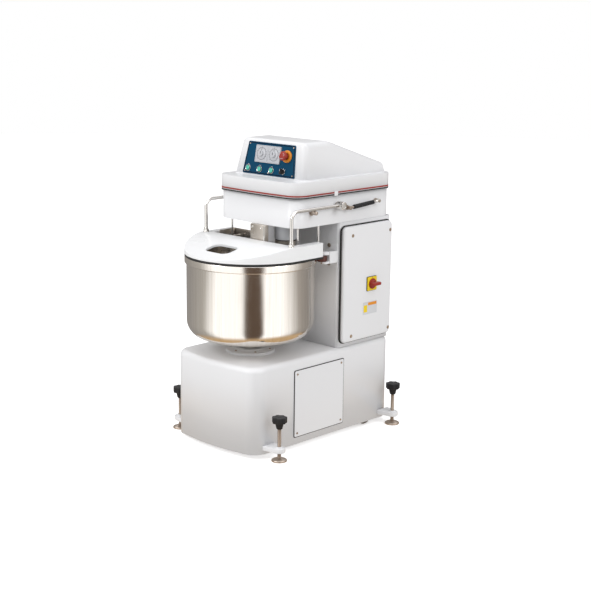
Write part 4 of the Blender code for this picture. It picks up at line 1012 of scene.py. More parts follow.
# Two adhesive trim lines round the cover, closed by a white clip on the right.
def makeStripes():
    look = stripeLook
    low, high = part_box("top_cover")
    cover = coverLook
    for name, material, slotName in (("red", redPlastic, "red_plastic"),
                                     ("black", blackPlastic, "black_plastic")):
        proud = look["proud"]
        outline = casingOutline(high.x + proud, low.y + cover["bow"] - proud, high.y + proud,
                                cover["corner"] + proud, cover["bow"], 16)
        bm = prism(outline, *look[name])
        roundOff(bm, sharpEdges(bm, angle=1.2), 0.0005, 2)
        dropLevel(bm, look[name][0])
        dropLevel(bm, look[name][1])
        addPiece("cover_stripe_" + name, bm, material, wall=0.0009)
    clip = block((high.x - 0.001, look["clipY"] - 0.011, look["black"][0] - 0.003),
                 (high.x + 0.0035, look["clipY"] + 0.011, look["red"][1] + 0.003), 0.0022, 4)
    addPiece("stripe_clip", clip, whitePaint)


makeBase()
makeAccessPanel()
makeColumn()
makeRearCover()
makeDoor()
makeBlankPlate()
makeHead()
makeCover()
makeStripes()
print("stage: casings")


# Controls. Panel pieces are drawn in the panel's own plane: x across, y up, z outwards.

def panelPlace(x=0.0, y=0.0):
    low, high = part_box("control_panel")
    face = (low + high) / 2 + panelNormal * 0.0015
    turn = Matrix.Rotation(pi / 2 - panelTilt, 4, 'X')
    return Matrix.Translation(face) @ turn @ Matrix.Translation((x, y, 0))


controlPlaces = {"row": -0.0463, "timerRow": 0.0198, "selector": 0.088, "stop": 0.101, "timers": -0.012,
                 "buttons": {"left": -0.124, "middle": -0.054, "right": 0.0175}}
panelLook = {"low": 0.156, "top": 0.141, "half": 0.0697, "corner": 0.006, "thick": 0.0030,
             "border": 0.0042, "borderIn": 0.0036, "screwIn": 0.0105, "screwRadius": 0.0036}


# Outline of the panel moved inwards: a shape that narrows to the top, with round corners.
def panelOutline(inset):
    look = panelLook
    lean = (look["low"] - look["top"]) / (2 * look["half"])
    corner = max(look["corner"] - inset, 0.0015)
    outline = []
    for sx, sy, start in ((1, -1, -90), (1, 1, 0), (-1, 1, 90), (-1, -1, 180)):
        y = sy * (look["half"] - inset)
        x = sx * (look["low"] - lean * (y + look["half"]) - inset)
        outline += arcPoints((x - sx * corner, y - sy * corner), corner, start, start + 90, 5)
    return outline


def ringBetween(outer, inner, low, high):
    rings = [[(x, y, low) for x, y in outer], [(x, y, high) for x, y in outer]]
    rings += [[(x, y, high) for x, y in inner], [(x, y, low) for x, y in inner]]
    ring = lofted(rings + rings[:1], capped=False)
    bmesh.ops.remove_doubles(ring, verts=ring.verts, dist=0.00001)
    return ring


def makePanel():
    look = panelLook
    place = panelPlace()
    sheet = prism(panelOutline(0.0), -look["thick"], 0.0)
    roundOff(sheet, sharpEdges(sheet, 0.0, 0.0), 0.0007, 3)
    for x in (*controlPlaces["buttons"].values(), controlPlaces["selector"]):
        sheet = cutAway(sheet, turnedAt(borer(0.0108), x, controlPlaces["row"]))
    sheet = cutAway(sheet, turnedAt(borer(0.0130), controlPlaces["stop"], controlPlaces["timerRow"]))
    sheet.transform(place)
    addPiece("panel_sheet", sheet, panelBlue, replaced=["control_panel"])
    line = ringBetween(panelOutline(look["borderIn"]), panelOutline(look["borderIn"] + look["border"]),
                       -0.0002, 0.00018)
    line.transform(place)
    addPiece("panel_border", line, panelBorder)
    screws = bmesh.new()
    high = look["half"] - look["screwIn"]
    wide = look["top"] - look["screwIn"]
    spots = [(-wide, high), (wide, high), (-wide - 0.012, -high), (wide + 0.012, -high), (0.0, -high)]
    for x, y in spots:
        socketScrew(screws, (x, y, -0.0001), (0, 0, 1), look["screwRadius"], 0.0016)
    screws.transform(place)
    addPiece("panel_screws", screws, zincPlate)
    legends = bmesh.new()
    for x in controlPlaces["buttons"].values():
        merge(legends, block((x - 0.0045, controlPlaces["row"] + 0.0158, -0.0002),
                             (x + 0.0045, controlPlaces["row"] + 0.0172, 0.0001)))
    for turn in (-42, 0, 42):
        mark = block((-0.0006, 0.0135, -0.0002), (0.0006, 0.0172, 0.0001))
        merge(legends, mark,
              Matrix.Translation((controlPlaces["selector"], controlPlaces["row"],
                                  0)) @ Matrix.Rotation(radians(turn), 4, 'Z'))
    legends.transform(place)
    addPiece("panel_marks", legends, labelGrey)


timerLook = {"thick": 0.0060, "scaleInner": 0.0254, "scaleOuter": 0.0266, "ticks": 13, "sweep": 270}


def makeTimers():
    look = timerLook
    place = panelPlace(controlPlaces["timers"], controlPlaces["timerRow"])
    plate = prism(plateOutline((-0.074, -0.037), (0.074, 0.037), 0.004, 5), 0.0002, look["thick"])
    roundOff(plate, sharpEdges(plate, look["thick"], look["thick"]), 0.0016, 4)
    plate.transform(place)
    addPiece("timer_plate", plate, timerGrey, replaced=["timer_bezel"])
    groove = bmesh.new()
    for sx in (-1, 1):
        outline = plateOutline((-0.0345, -0.0345), (0.0345, 0.0345), 0.003, 4)
        inner = plateOutline((-0.0340, -0.0340), (0.0340, 0.0340), 0.0025, 4)
        line = ringBetween(outline, inner, look["thick"] - 0.0002, look["thick"] + 0.00006)
        merge(groove, line, Matrix.Translation((sx * 0.037, 0, 0)))
    groove.transform(place)
    addPiece("timer_frames", groove, inkAndShadeBlack)
    for speed, side in (("slow", -1), ("fast", 1)):
        name = "timer_dial_" + speed
        body = "timer_" + speed
        stand = panelPlace(controlPlaces["timers"] + side * 0.037, controlPlaces["timerRow"])
        scale = bmesh.new()
        outer = arcPoints((0, 0), look["scaleOuter"], 0, 352.5, 47)
        inner = arcPoints((0, 0), look["scaleInner"], 0, 352.5, 47)
        merge(scale, ringBetween(outer, inner, look["thick"] - 0.0002, look["thick"] + 0.00012))
        for step in range(look["ticks"]):
            turn = radians(-look["sweep"] / 2 + look["sweep"] * step / (look["ticks"] - 1))
            long = 0.0052 if step % 3 == 0 else 0.0032
            tick = block((-0.0007, look["scaleOuter"], look["thick"] - 0.0002),
                         (0.0007, look["scaleOuter"] + long, look["thick"] + 0.00012))
            merge(scale, tick, Matrix.Rotation(turn, 4, 'Z'))
        scale.transform(stand)
        addPiece(name + "_scale", scale, inkAndShadeBlack)
        profile = [(0.0, 0.0150), (0.0105, 0.0150), (0.0116, 0.0142), (0.0122, 0.0128), (0.0124, 0.0092),
                   (0.0130, 0.0084), (0.0222, 0.0080), (0.0234, 0.0075), (0.0240, 0.0064), (0.0, 0.0064)]
        dial = spun(profile, 72)
        for step in range(18):
            rib = block((0.0112, -0.0006, 0.0086), (0.0127, 0.0006, 0.0138), 0.0003, 1)
            merge(dial, rib, Matrix.Rotation(2 * pi * step / 18, 4, 'Z'))
        dial.transform(stand)
        addPiece(name + "_turned", dial, timerGrey, body=body, replaced=[name], angle=30)
        pointer = block((-0.0015, -0.0020, 0.0149), (0.0015, 0.0102, 0.01525), 0.0001, 1)
        merge(pointer, block((-0.0015, 0.0134, 0.0076), (0.0015, 0.0226, 0.0083), 0.0001, 1))
        pointer.transform(stand)
        addPiece(name + "_pointer", pointer, inkAndShadeBlack, body=body)


def makeStopButton():
    place = panelPlace(controlPlaces["stop"], controlPlaces["timerRow"])
    ring = spun([(0.0136, 0.0003), (0.0262, 0.0003), (0.0264, 0.0012), (0.0262, 0.0058), (0.0252, 0.0074),
                 (0.0238, 0.0086), (0.0225, 0.0089), (0.0150, 0.0089), (0.0138, 0.0080), (0.0136, 0.0003)],
                 64)
    ring.transform(place)
    addPiece("stop_ring", ring, orangePlastic, replaced=["stop_button_collar"])
    head = spun([(0.0, 0.0378), (0.0060, 0.0375), (0.0120, 0.0365), (0.0162, 0.0350), (0.0188, 0.0328),
                 (0.0199, 0.0300), (0.0199, 0.0262), (0.0192, 0.0240), (0.0174, 0.0222), (0.0140, 0.0205),
                 (0.0122, 0.0188), (0.0118, 0.0120), (0.0118, -0.0170), (0.0, -0.0170)], 72)
    head.transform(place)
    addPiece("stop_mushroom", head, redPlastic, body="stop_button",
             replaced=["stop_button_head"], angle=42)
    arrows = bmesh.new()
    for turn in (0, 120, 240):
        arc = prism(arcPoints((0, 0), 0.0132, 0, 66, 10) + arcPoints((0, 0), 0.0122, 66, 0, 10), 0.0354,
                    0.03645)
        merge(arrows, arc, Matrix.Rotation(radians(turn), 4, 'Z'))
    arrows.transform(place)
    addPiece("stop_turn_marks", arrows, labelGrey, body="stop_button")


def makeStartButtons():
    for side, x in controlPlaces["buttons"].items():
        node = "start_button_" + side
        place = panelPlace(x, controlPlaces["row"])
        bezel = spun([(0.0124, 0.0001), (0.0144, 0.0001), (0.0147, 0.0010), (0.0144, 0.0028),
                      (0.0136, 0.0036), (0.0127, 0.0034), (0.0124, 0.0026), (0.0124, 0.0001)], 56)
        bezel.transform(place)
        addPiece(node + "_bezel", bezel, chromePlate)
        collar = spun([(0.0106, 0.0002), (0.0125, 0.0002), (0.0125, 0.0030), (0.0120, 0.0034),
                       (0.0109, 0.0034), (0.0106, 0.0030), (0.0106, 0.0002)], 56)
        collar.transform(place)
        addPiece(node + "_collar", collar, blackPlastic)
        cap = spun([(0.0, 0.0068), (0.0030, 0.0068), (0.0072, 0.0066), (0.0092, 0.0060), (0.0100, 0.0050),
                    (0.0103, 0.0036), (0.0103, -0.0190), (0.0, -0.0190)], 56)
        cap.transform(place)
        addPiece(node + "_cap", cap, greenPlastic, body="start_" + side, replaced=[node])


def makeSelector():
    place = panelPlace(controlPlaces["selector"], controlPlaces["row"])
    bezel = spun([(0.0096, 0.0001), (0.0122, 0.0001), (0.0126, 0.0010), (0.0122, 0.0034),
                  (0.0113, 0.0042), (0.0104, 0.0040), (0.0096, 0.0001)], 48)
    bezel.transform(place)
    addPiece("selector_bezel", bezel, chromePlate)
    knob = spun([(0.0, 0.0100), (0.0080, 0.0100), (0.0088, 0.0092), (0.0092, 0.0060), (0.0092, -0.0190),
                 (0.0, -0.0190)], 48)
    merge(knob, block((-0.0036, -0.0118, 0.0084), (0.0036, 0.0118, 0.0236), 0.0018, 4))
    knob.transform(place)
    addPiece("selector_wing", knob, blackPlastic, body="selector",
             replaced=["selector_knob"])
    line = block((-0.0006, 0.0010, 0.0234), (0.0006, 0.0092, 0.02385))
    line.transform(place)
    addPiece("selector_line", line, labelGrey, body="selector")


switchLook = {"back": 0.0034, "margin": 0.0016, "ribs": 20}


def makeMainSwitch():
    look = switchLook
    low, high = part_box("main_switch_plate")
    across = Matrix(((0, 0, 1, 0), (1, 0, 0, 0), (0, 1, 0, 0), (0, 0, 0, 1)))
    middle = (low + high) / 2
    back = prism(plateOutline((low.y, low.z), (high.y, high.z), 0.005, 5), 0.0, look["back"])
    roundOff(back, sharpEdges(back, look["back"], look["back"]), 0.0008, 2)
    back.transform(Matrix.Translation((low.x - 0.0002, 0, 0)) @ across)
    addPiece("switch_back", back, blackPlastic, replaced=["main_switch_plate"])
    edge = look["margin"]
    face = prism(plateOutline((low.y + edge, low.z + edge), (high.y - edge, high.z - edge), 0.004, 5),
                 look["back"] - 0.0004, high.x - low.x)
    roundOff(face, sharpEdges(face, high.x - low.x, high.x - low.x), 0.0008, 3)
    face.transform(Matrix.Translation((low.x, 0, 0)) @ across)
    addPiece("switch_face", face, yellowPlastic, replaced=["main_switch_plate"])
    stand = facing((high.x + 0.0003, middle.y, middle.z), (1, 0, 0))
    marks = bmesh.new()
    for dy, dz in ((0.0, 0.0275), (0.0275, 0.0)):
        merge(marks, block((high.x - 0.0002, middle.y + dy - 0.0014, middle.z + dz - 0.0022),
                           (high.x + 0.0001, middle.y + dy + 0.0014, middle.z + dz + 0.0022)))
    addPiece("switch_marks", marks, inkAndShadeBlack)
    collar = spun([(0.0, 0.0052), (0.0205, 0.0052), (0.0222, 0.0044), (0.0228, 0.0030), (0.0228, 0.0002),
                   (0.0, 0.0002)], 64)
    for step in range(look["ribs"]):
        rib = block((0.0205, -0.0012, 0.0004), (0.0234, 0.0012, 0.0048), 0.0006, 1)
        merge(collar, rib, Matrix.Rotation(2 * pi * step / look["ribs"], 4, 'Z'))
    collar.transform(stand)
    hub = spun([(0.0, 0.0120), (0.0120, 0.0118), (0.0142, 0.0104), (0.0160, 0.0060), (0.0160, 0.0040),
                (0.0, 0.0040)], 56)
    hub.transform(stand)
    merge(collar, hub)
    grip = block((high.x + 0.0050, middle.y - 0.0200, middle.z - 0.0072),
                 (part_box("main_switch_knob")[1].x, middle.y + 0.0318, middle.z + 0.0072), 0.0045, 5)
    merge(collar, grip)
    addPiece("switch_knob", collar, redPlastic, body="main_switch",
             replaced=["main_switch_knob"], angle=34)


makePanel()
makeTimers()
makeStopButton()
makeStartButtons()
makeSelector()
makeMainSwitch()
print("stage: controls")


# Bowl, lid and what carries them.

bowlLook = {"centre": -0.187, "radius": 0.275, "rim": 0.283, "rimTop": 0.817, "rimLow": 0.787,
            "floor": 0.463, "heel": 0.075, "wall": 0.003}


def makeBowl():
    look = bowlLook
    middle = (look["radius"] - look["heel"], look["floor"] + look["heel"])
    outside = [(0.0, look["floor"] + 0.0001), (0.130, look["floor"] + 0.0001)]
    outside += arcPoints(middle, look["heel"], -90, 0, 22)
    outside += [(look["radius"], look["rimLow"] - 0.004), (look["radius"] + 0.0012, look["rimLow"] - 0.0015)]
    outside += arcPoints((look["rim"] - 0.0035, look["rimLow"] + 0.0035), 0.0035, -90, 0, 6)
    outside += arcPoints((look["rim"] - 0.0035, look["rimTop"] - 0.0035), 0.0035, 0, 90, 6)
    inner = look["radius"] - look["wall"]
    inside = arcPoints((inner + 0.0035, look["rimTop"] - 0.0035), 0.0035, 90, 180, 6)
    inside += arcPoints(middle, look["heel"] - look["wall"], 0, -90, 22)
    inside += [(0.0, look["floor"] + look["wall"])]
    bowl = spun(outside + inside, 160)
    bowl.transform(Matrix.Translation((0, look["centre"], 0)))
    addPiece("bowl_shell", bowl, bowlSteel, body="bowl", replaced=["mixing_bowl"], angle=30)
    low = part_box("mixing_bowl")[0].z
    floor = look["floor"]
    stem = [(0.0, floor + 0.001), (0.0990, floor + 0.001), (0.1000, floor - 0.0010), (0.0985, floor - 0.0055),
            (0.0700, floor - 0.0085), (0.0640, floor - 0.014), (0.0620, floor - 0.022), (0.0620, 0.4240),
            (0.0600, 0.4215), (0.0216, 0.4205), (0.0216, low + 0.0015), (0.0200, low), (0.0, low)]
    hub = spun(stem, 96)
    hub.transform(Matrix.Translation((0, look["centre"], 0)))
    addPiece("bowl_hub", hub, bowlSteel, body="bowl", replaced=["mixing_bowl"], angle=30)


def makeBowlBearing():
    low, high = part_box("bowl_bearing_housing")
    y = (low.y + high.y) / 2
    top = high.z
    profile = [(0.0226, top), (0.0650, top), (0.0668, top - 0.0010), (0.0690, top - 0.0040),
               (0.0720, top - 0.0055), (0.1015, top - 0.0060), (0.1045, top - 0.0072), (0.1060, top - 0.0100),
               (0.1060, 0.3943), (0.0560, 0.3943), (0.0560, low.z), (0.0226, low.z), (0.0226, top)]
    ring = spun(profile, 96)
    ring.transform(Matrix.Translation((0, y, 0)))
    addPiece("bearing_ring", ring, whitePaint, replaced=["bowl_bearing_housing"])
    bolts = bmesh.new()
    for step in range(6):
        turn = radians(30 + 60 * step)
        hexHead(bolts, (0.087 * cos(turn), y + 0.087 * sin(turn), top - 0.0060), (0, 0, 1), 0.0042, 0.0045)
    addPiece("bearing_bolts", bolts, zincPlate)


lidLook = {"radius": 0.2835, "low": 0.827, "top": 0.885, "wingIn": 0.2425, "wingCorner": 0.022,
           "wingFrom": -0.185, "rear": -0.032, "edge": 0.005, "wall": 0.004,
           "fall": [(0.05, 0.885), (-0.215, 0.885), (-0.232, 0.8845), (-0.246, 0.8830), (-0.262, 0.8800),
                    (-0.292, 0.8736), (-0.380, 0.8545), (-0.4600, 0.8372), (-0.4720, 0.8345),
                    (-0.50, 0.8290)]}


def lidPlan(inset):
    look = lidLook
    radius = look["radius"] - inset
    rear = look["rear"] - inset
    outline = arcPoints((0, bowlLook["centre"]), radius, -180, 0, 120)
    outline += arcPoints((radius - 0.012, rear - 0.012), 0.012, 0, 90, 6)
    inner = look["wingIn"] + inset
    corner = look["wingCorner"]
    outline.append((inner, rear))
    outline += arcPoints((inner - corner, look["wingFrom"] - inset + corner), corner, 0, -90, 8)
    outline += arcPoints((-inner + corner, look["wingFrom"] - inset + corner), corner, 270, 180, 8)
    outline.append((-inner, rear))
    return outline + arcPoints((-radius + 0.012, rear - 0.012), 0.012, 90, 180, 6)


def lidBody(inset, low):
    look = lidLook
    bm = prism(lidPlan(inset), low, look["top"])
    for y, level in look["fall"][1:-1]:
        bmesh.ops.bisect_plane(bm, geom=list(bm.verts) + list(bm.edges) + list(bm.faces),
                               plane_co=(0, y, 0), plane_no=(0, 1, 0))
    for vert in bm.verts:
        if vert.co.z < look["top"] - 0.0001:
            continue
        for (rear, upper), (front, lower) in zip(look["fall"], look["fall"][1:]):
            if front <= vert.co.y <= rear:
                vert.co.z = lower + (upper - lower) * (vert.co.y - front) / (rear - front) - inset
                break
    rim = [edge for edge in sharpEdges(bm) if max(face.normal.z for face in edge.link_faces) > 0.7]
    bmesh.ops.bevel(bm, geom=rim, offset=look["edge"] - inset * 0.6, offset_type='OFFSET', segments=4,
                    profile=0.5, affect='EDGES', clamp_overlap=True, material=-1)
    return bm


def makeLid():
    look = lidLook
    bm = cutAway(lidBody(0.0, look["low"]), lidBody(look["wall"], look["low"] - 0.02))
    bm = cutAway(bm, prism(plateOutline((-0.072, -0.402), (0.072, -0.312), 0.034, 12), 0.80, 0.92))
    addPiece("lid_shell", bm, lidPlastic, body="lid", replaced=["lid"], angle=30)
    lip = ringBetween(plateOutline((-0.0718, -0.4018), (0.0718, -0.3122), 0.0338, 12),
                      plateOutline((-0.0698, -0.3998), (0.0698, -0.3142), 0.0318, 12), 0.0, 0.0085)
    lean = (0.8717 - 0.8504) / 0.100
    for vert in lip.verts:
        vert.co.z += 0.8432 + (vert.co.y + 0.402) * lean
    addPiece("feed_hole_lip", lip, lidPlastic, body="lid")


def makeLidSeal():
    low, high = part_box("lid_seal")
    stations = [(-1.0, 0.0, high.y)]
    steps = 96
    for step in range(steps + 1):
        turn = radians(-180 + 180 * step / steps)
        stations.append((cos(turn), sin(turn), bowlLook["centre"]))
    stations.append((1.0, 0.0, high.y))
    section = [(high.x - 0.0115, low.z), (high.x - 0.0016, low.z), (high.x, low.z + 0.0016),
               (high.x - 0.0006, high.z - 0.0012), (high.x - 0.0018, high.z), (high.x - 0.0115, high.z)]
    rings = [[(reach * x, y + reach * turn, z) for reach, z in section] for x, turn, y in stations]
    seal = lofted(rings)
    addPiece("seal_strip", seal, blackRubber, body="lid", replaced=["lid_seal"])


armLook = {"x": 0.2605, "footY": -0.207, "level": 1.029, "bend": 0.034, "radius": 0.0075}


def makeArms():
    look = armLook
    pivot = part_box("lid_pivot_shaft")[0].y - 0.0002
    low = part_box("lid_arm_right")[0].z
    for name, side in (("left", -1), ("right", 1)):
        x = side * look["x"]
        bend = arcPoints((look["footY"] + look["bend"], look["level"] - look["bend"]), look["bend"], 180, 90,
                         14)
        points = [(x, look["footY"], low), (x, look["footY"], 0.93)]
        points += [(x, y, z) for y, z in bend] + [(x, -0.04, look["level"]), (x, pivot, look["level"])]
        arm = tube(points, look["radius"], 28)
        addPiece("arm_" + name, arm, chromePlate, body="lid", replaced=["lid_arm_" + name])
        nut = spun([(0.0, low + 0.0028), (0.0122, low + 0.0028), (0.0125, low + 0.0020), (0.0125, low),
                    (0.0, low)], 40)
        merge(nut, spun([(0.0076, low + 0.0190), (0.0094, low + 0.0186), (0.0098, low + 0.0120),
                         (0.0, low + 0.0110)], 32))
        hexagon = bmesh.new()
        bmesh.ops.create_cone(hexagon, cap_ends=True, segments=6, radius1=0.0122, radius2=0.0122,
                              depth=0.0085,
                              matrix=Matrix.Translation((0, 0, low + 0.0070)))
        roundOff(hexagon, sharpEdges(hexagon, low + 0.0110, low + 0.0120), 0.0009, 2)
        merge(nut, hexagon)
        nut.transform(Matrix.Translation((x, look["footY"], 0)))
        addPiece("arm_nut_" + name, nut, chromePlate, body="lid", replaced=["lid_arm_" + name])


def alongX(profile, x, y, z, side=1, steps=40):
    body = spun(profile, steps)
    body.transform(facing((x, y, z), (side, 0, 0)))
    return body


def makePivot():
    low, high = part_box("lid_pivot_shaft")
    y, z = (low.y + high.y) / 2, (low.z + high.z) / 2
    shaft = tube([(-0.284, y, z), (0.284, y, z)], 0.0098, 32)
    addPiece("pivot_shaft", shaft, chromePlate, body="lid", replaced=["lid_pivot_shaft"])
    hubs = bmesh.new()
    profile = [(0.0100, 0.0), (0.0160, 0.0), (0.0170, 0.0010), (0.0170, 0.0322), (0.0158, 0.0336),
               (0.0105, 0.0340), (0.0095, 0.0328), (0.0, 0.0328)]
    for side in (-1, 1):
        merge(hubs, alongX(profile, side * 0.2524, y, z, side, 56))
        screw = bmesh.new()
        socketScrew(screw, (side * 0.2705, y, z + 0.0166), (0, 0, 1), 0.0030, 0.0005)
        merge(hubs, screw)
    addPiece("pivot_hubs", hubs, chromePlate, body="lid", replaced=["lid_pivot_shaft"])


springPins = {"lever": (0.150, 1.013), "anchor": (0.341, 1.026)}


def makeGasSpring():
    leverPin, anchorPin = springPins["lever"], springPins["anchor"]
    low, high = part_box("lid_pivot_shaft")
    y, z = (low.y + high.y) / 2, (low.z + high.z) / 2
    reach = sqrt((leverPin[0] - y) ** 2 + (leverPin[1] - z) ** 2)
    plate = prism(arcPoints((0, 0), 0.0160, 90, 270, 16) + arcPoints((reach, 0), 0.0095, -90, 90, 12), 0.0,
                  0.0048)
    roundOff(plate, sharpEdges(plate), 0.0006, 2)
    turn = Matrix(((0, 0, 1, 0), (1, 0, 0, 0), (0, 1, 0, 0), (0, 0, 0, 1)))
    fall = Matrix.Rotation(Vector((leverPin[0] - y, leverPin[1] - z)).angle_signed(Vector((1, 0))), 4, 'X')
    plate.transform(Matrix.Translation((0.2471, y, z)) @ fall @ turn)
    addPiece("lever_plate", plate, zincPlate, body="lid", replaced=["damper_lever"])
    anchor = Vector((armLook["x"], *anchorPin))
    front = Vector((armLook["x"], *leverPin))
    heading = (front - anchor).normalized()
    span = (front - anchor).length
    stand = facing(anchor, heading)
    tubeBody = spun([(0.0046, 0.0364), (0.0078, 0.0362), (0.0090, 0.0372), (0.0095, 0.0392),
                     (0.0095, span - 0.0272), (0.0086, span - 0.0250), (0.0058, span - 0.0242),
                     (0.0, span - 0.0242)], 48)
    tubeBody.transform(stand)
    addPiece("spring_cylinder", tubeBody, blackPlastic, body="gas_cylinder",
             replaced=["gas_spring_cylinder"])
    eye = alongX([(0.0, 0.0), (0.0078, 0.0), (0.0085, 0.0008), (0.0085, 0.0150), (0.0078, 0.0158),
                  (0.0, 0.0158)],
                 0.2525, *leverPin)
    stalk = spun([(0.0, span - 0.026), (0.0055, span - 0.026), (0.0055, span - 0.005), (0.0, span - 0.005)],
                 28)
    stalk.transform(stand)
    merge(eye, stalk)
    addPiece("spring_front_eye", eye, zincPlate, body="gas_cylinder",
             replaced=["gas_spring_cylinder"])
    rod = spun([(0.0, 0.0060), (0.0040, 0.0060), (0.0040, span - 0.052), (0.0, span - 0.052)], 32)
    rod.transform(stand)
    addPiece("spring_rod", rod, chromePlate, body="gas_rod", replaced=["gas_spring_rod"])
    end = alongX([(0.0050, 0.0), (0.0078, 0.0), (0.0085, 0.0008), (0.0085, 0.0112), (0.0078, 0.0119),
                  (0.0050, 0.0119), (0.0050, 0.0)], 0.2546, *anchorPin)
    collar = spun([(0.0, 0.0062), (0.0052, 0.0062), (0.0062, 0.0078), (0.0062, 0.0180), (0.0052, 0.0196),
                   (0.0, 0.0196)], 32)
    collar.transform(stand)
    merge(end, collar)
    addPiece("spring_rear_eye", end, chromePlate, body="gas_rod", replaced=["gas_spring_rod"])
    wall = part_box("gas_spring_anchor")[0].x
    post = alongX([(0.0, 0.0), (0.0095, 0.0), (0.0095, 0.0142), (0.0088, 0.0150), (0.0045, 0.0152),
                   (0.0045, 0.0300), (0.0040, 0.0314), (0.0, 0.0314)], wall, *anchorPin)
    addPiece("spring_anchor", post, zincPlate, replaced=["gas_spring_anchor"])


def makeLidStop():
    low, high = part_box("lid_stop")
    y, z = (low.y + high.y) / 2, (low.z + high.z) / 2
    length = high.x - low.x
    stub = alongX([(0.0, 0.0), (0.0128, 0.0), (0.0130, 0.0004), (0.0130, 0.0036), (0.0120, 0.0046),
                   (0.0085, 0.0048),
                   (0.0085, length - 0.0045), (0.0078, length - 0.0022), (0.0060, length - 0.0006),
                   (0.0030, length), (0.0, length)], low.x, y, z, 1, 48)
    addPiece("stop_stub", stub, zincPlate, replaced=["lid_stop"])


# Mixing tools and guards.

breakerLook = {"place": (-0.004, -0.165), "low": 0.484, "block": (0.864, 0.9497)}


def makeBreaker():
    look = breakerLook
    x, y = look["place"]
    rod = spun([(0.0, look["low"]), (0.0105, look["low"] + 0.0003), (0.0152, look["low"] + 0.0022),
                (0.0174, look["low"] + 0.0052), (0.0180, look["low"] + 0.0090), (0.0180, 0.874),
                (0.0, 0.874)], 56)
    rod.transform(Matrix.Translation((x, y, 0)))
    addPiece("breaker_rod", rod, bowlSteel, replaced=["breaker_bar"])
    clamp = block((-0.010, -0.181, look["block"][0]), (0.0775, -0.1581, look["block"][1]), 0.0022, 3)
    addPiece("breaker_clamp", clamp, brushedSteel, replaced=["breaker_bar"])
    screws = bmesh.new()
    for x in (0.004, 0.056):
        socketScrew(screws, (x, -0.1808, look["block"][1] - 0.012), (0, -1, 0), 0.0052, 0.0018)
    # A bright chrome strip down the clamp's right edge: a painted highlight.
    merge(screws, block((0.0690, -0.1818, look["block"][0] + 0.002),
                        (0.0770, -0.1805, look["block"][1] - 0.002)))
    addPiece("breaker_screws_and_glint_strip", screws, chromePlate, replaced=["breaker_bar"])


spiralLook = {"axis": (0.088, -0.065), "sweep": 0.092, "bar": 0.015, "turns": 1.35, "end": 0.489,
              "flange": 0.0460, "housing": 0.0475, "flangeTop": 0.878, "steps": 120}


def makeSpiral():
    look = spiralLook
    top = look["flangeTop"] - 0.030
    points = [(0.0, 0.0, top + 0.012), (0.0, 0.0, top - 0.012)]
    for step in range(look["steps"] + 1):
        part = step / look["steps"]
        sweep = look["sweep"]
        if part < 0.16:
            sweep *= sin(part / 0.16 * pi / 2)
        if part > 0.82:
            sweep *= 1 - 0.42 * ((part - 0.82) / 0.18) ** 2
        turn = radians(-70) - 2 * pi * look["turns"] * part
        height = top - 0.030 - (top - 0.030 - look["end"]) * part ** 0.92
        points.append((sweep * cos(turn), sweep * sin(turn), height))
    hook = tube(points, look["bar"], 32)
    stand = Matrix.Translation((*look["axis"], 0))
    hook.transform(stand)
    addPiece("hook_bar", hook, spiralSteel, body="spiral", replaced=["spiral_hook"], angle=45)
    upper = look["flangeTop"]
    rim = look["flange"]
    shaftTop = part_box("spiral_hook")[1].z
    flange = spun([(0.0, top - 0.004), (0.019, top - 0.004), (0.024, top + 0.001), (rim - 0.004, top + 0.002),
                   (rim - 0.001, top + 0.004), (rim, top + 0.007), (rim, upper - 0.0012),
                   (rim - 0.0012, upper),
                   (0.0178, upper), (0.0178, shaftTop - 0.001), (0.0168, shaftTop), (0.0, shaftTop)], 64)
    for step in range(4):
        turn = radians(45 + 90 * step)
        hexHead(flange, (0.0345 * cos(turn), 0.0345 * sin(turn), top + 0.0010), (0, 0, -1), 0.0045, 0.004)
    flange.transform(stand)
    addPiece("hook_flange", flange, brushedSteel, body="spiral", replaced=["spiral_hook"])


def makeSpiralHousing():
    low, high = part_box("spiral_bearing_housing")
    x, y = (low.x + high.x) / 2, (low.y + high.y) / 2
    z = low.z
    wide = spiralLook["housing"]
    profile = [(0.0186, z), (wide - 0.0030, z), (wide - 0.0008, z + 0.0008), (wide, z + 0.0030),
               (wide, 0.9540), (0.0550, 0.9540), (0.0550, high.z), (0.0186, high.z), (0.0186, z)]
    housing = spun(profile, 72)
    housing.transform(Matrix.Translation((x, y, 0)))
    addPiece("spiral_housing", housing, greyPaint, replaced=["spiral_bearing_housing"])
    band = spun([(0.0190, z - 0.0002), (wide - 0.0040, z - 0.0002), (wide - 0.0030, z - 0.0010),
                 (wide - 0.0035, z - 0.0030), (0.0190, z - 0.0030), (0.0190, z - 0.0002)], 72)
    band.transform(Matrix.Translation((x, y, 0)))
    addPiece("housing_seal", band, blackRubber)


guardLook = {"x": 0.2, "front": -0.107, "rear": 0.020, "low": 0.862, "bend": 0.012, "radius": 0.0045}


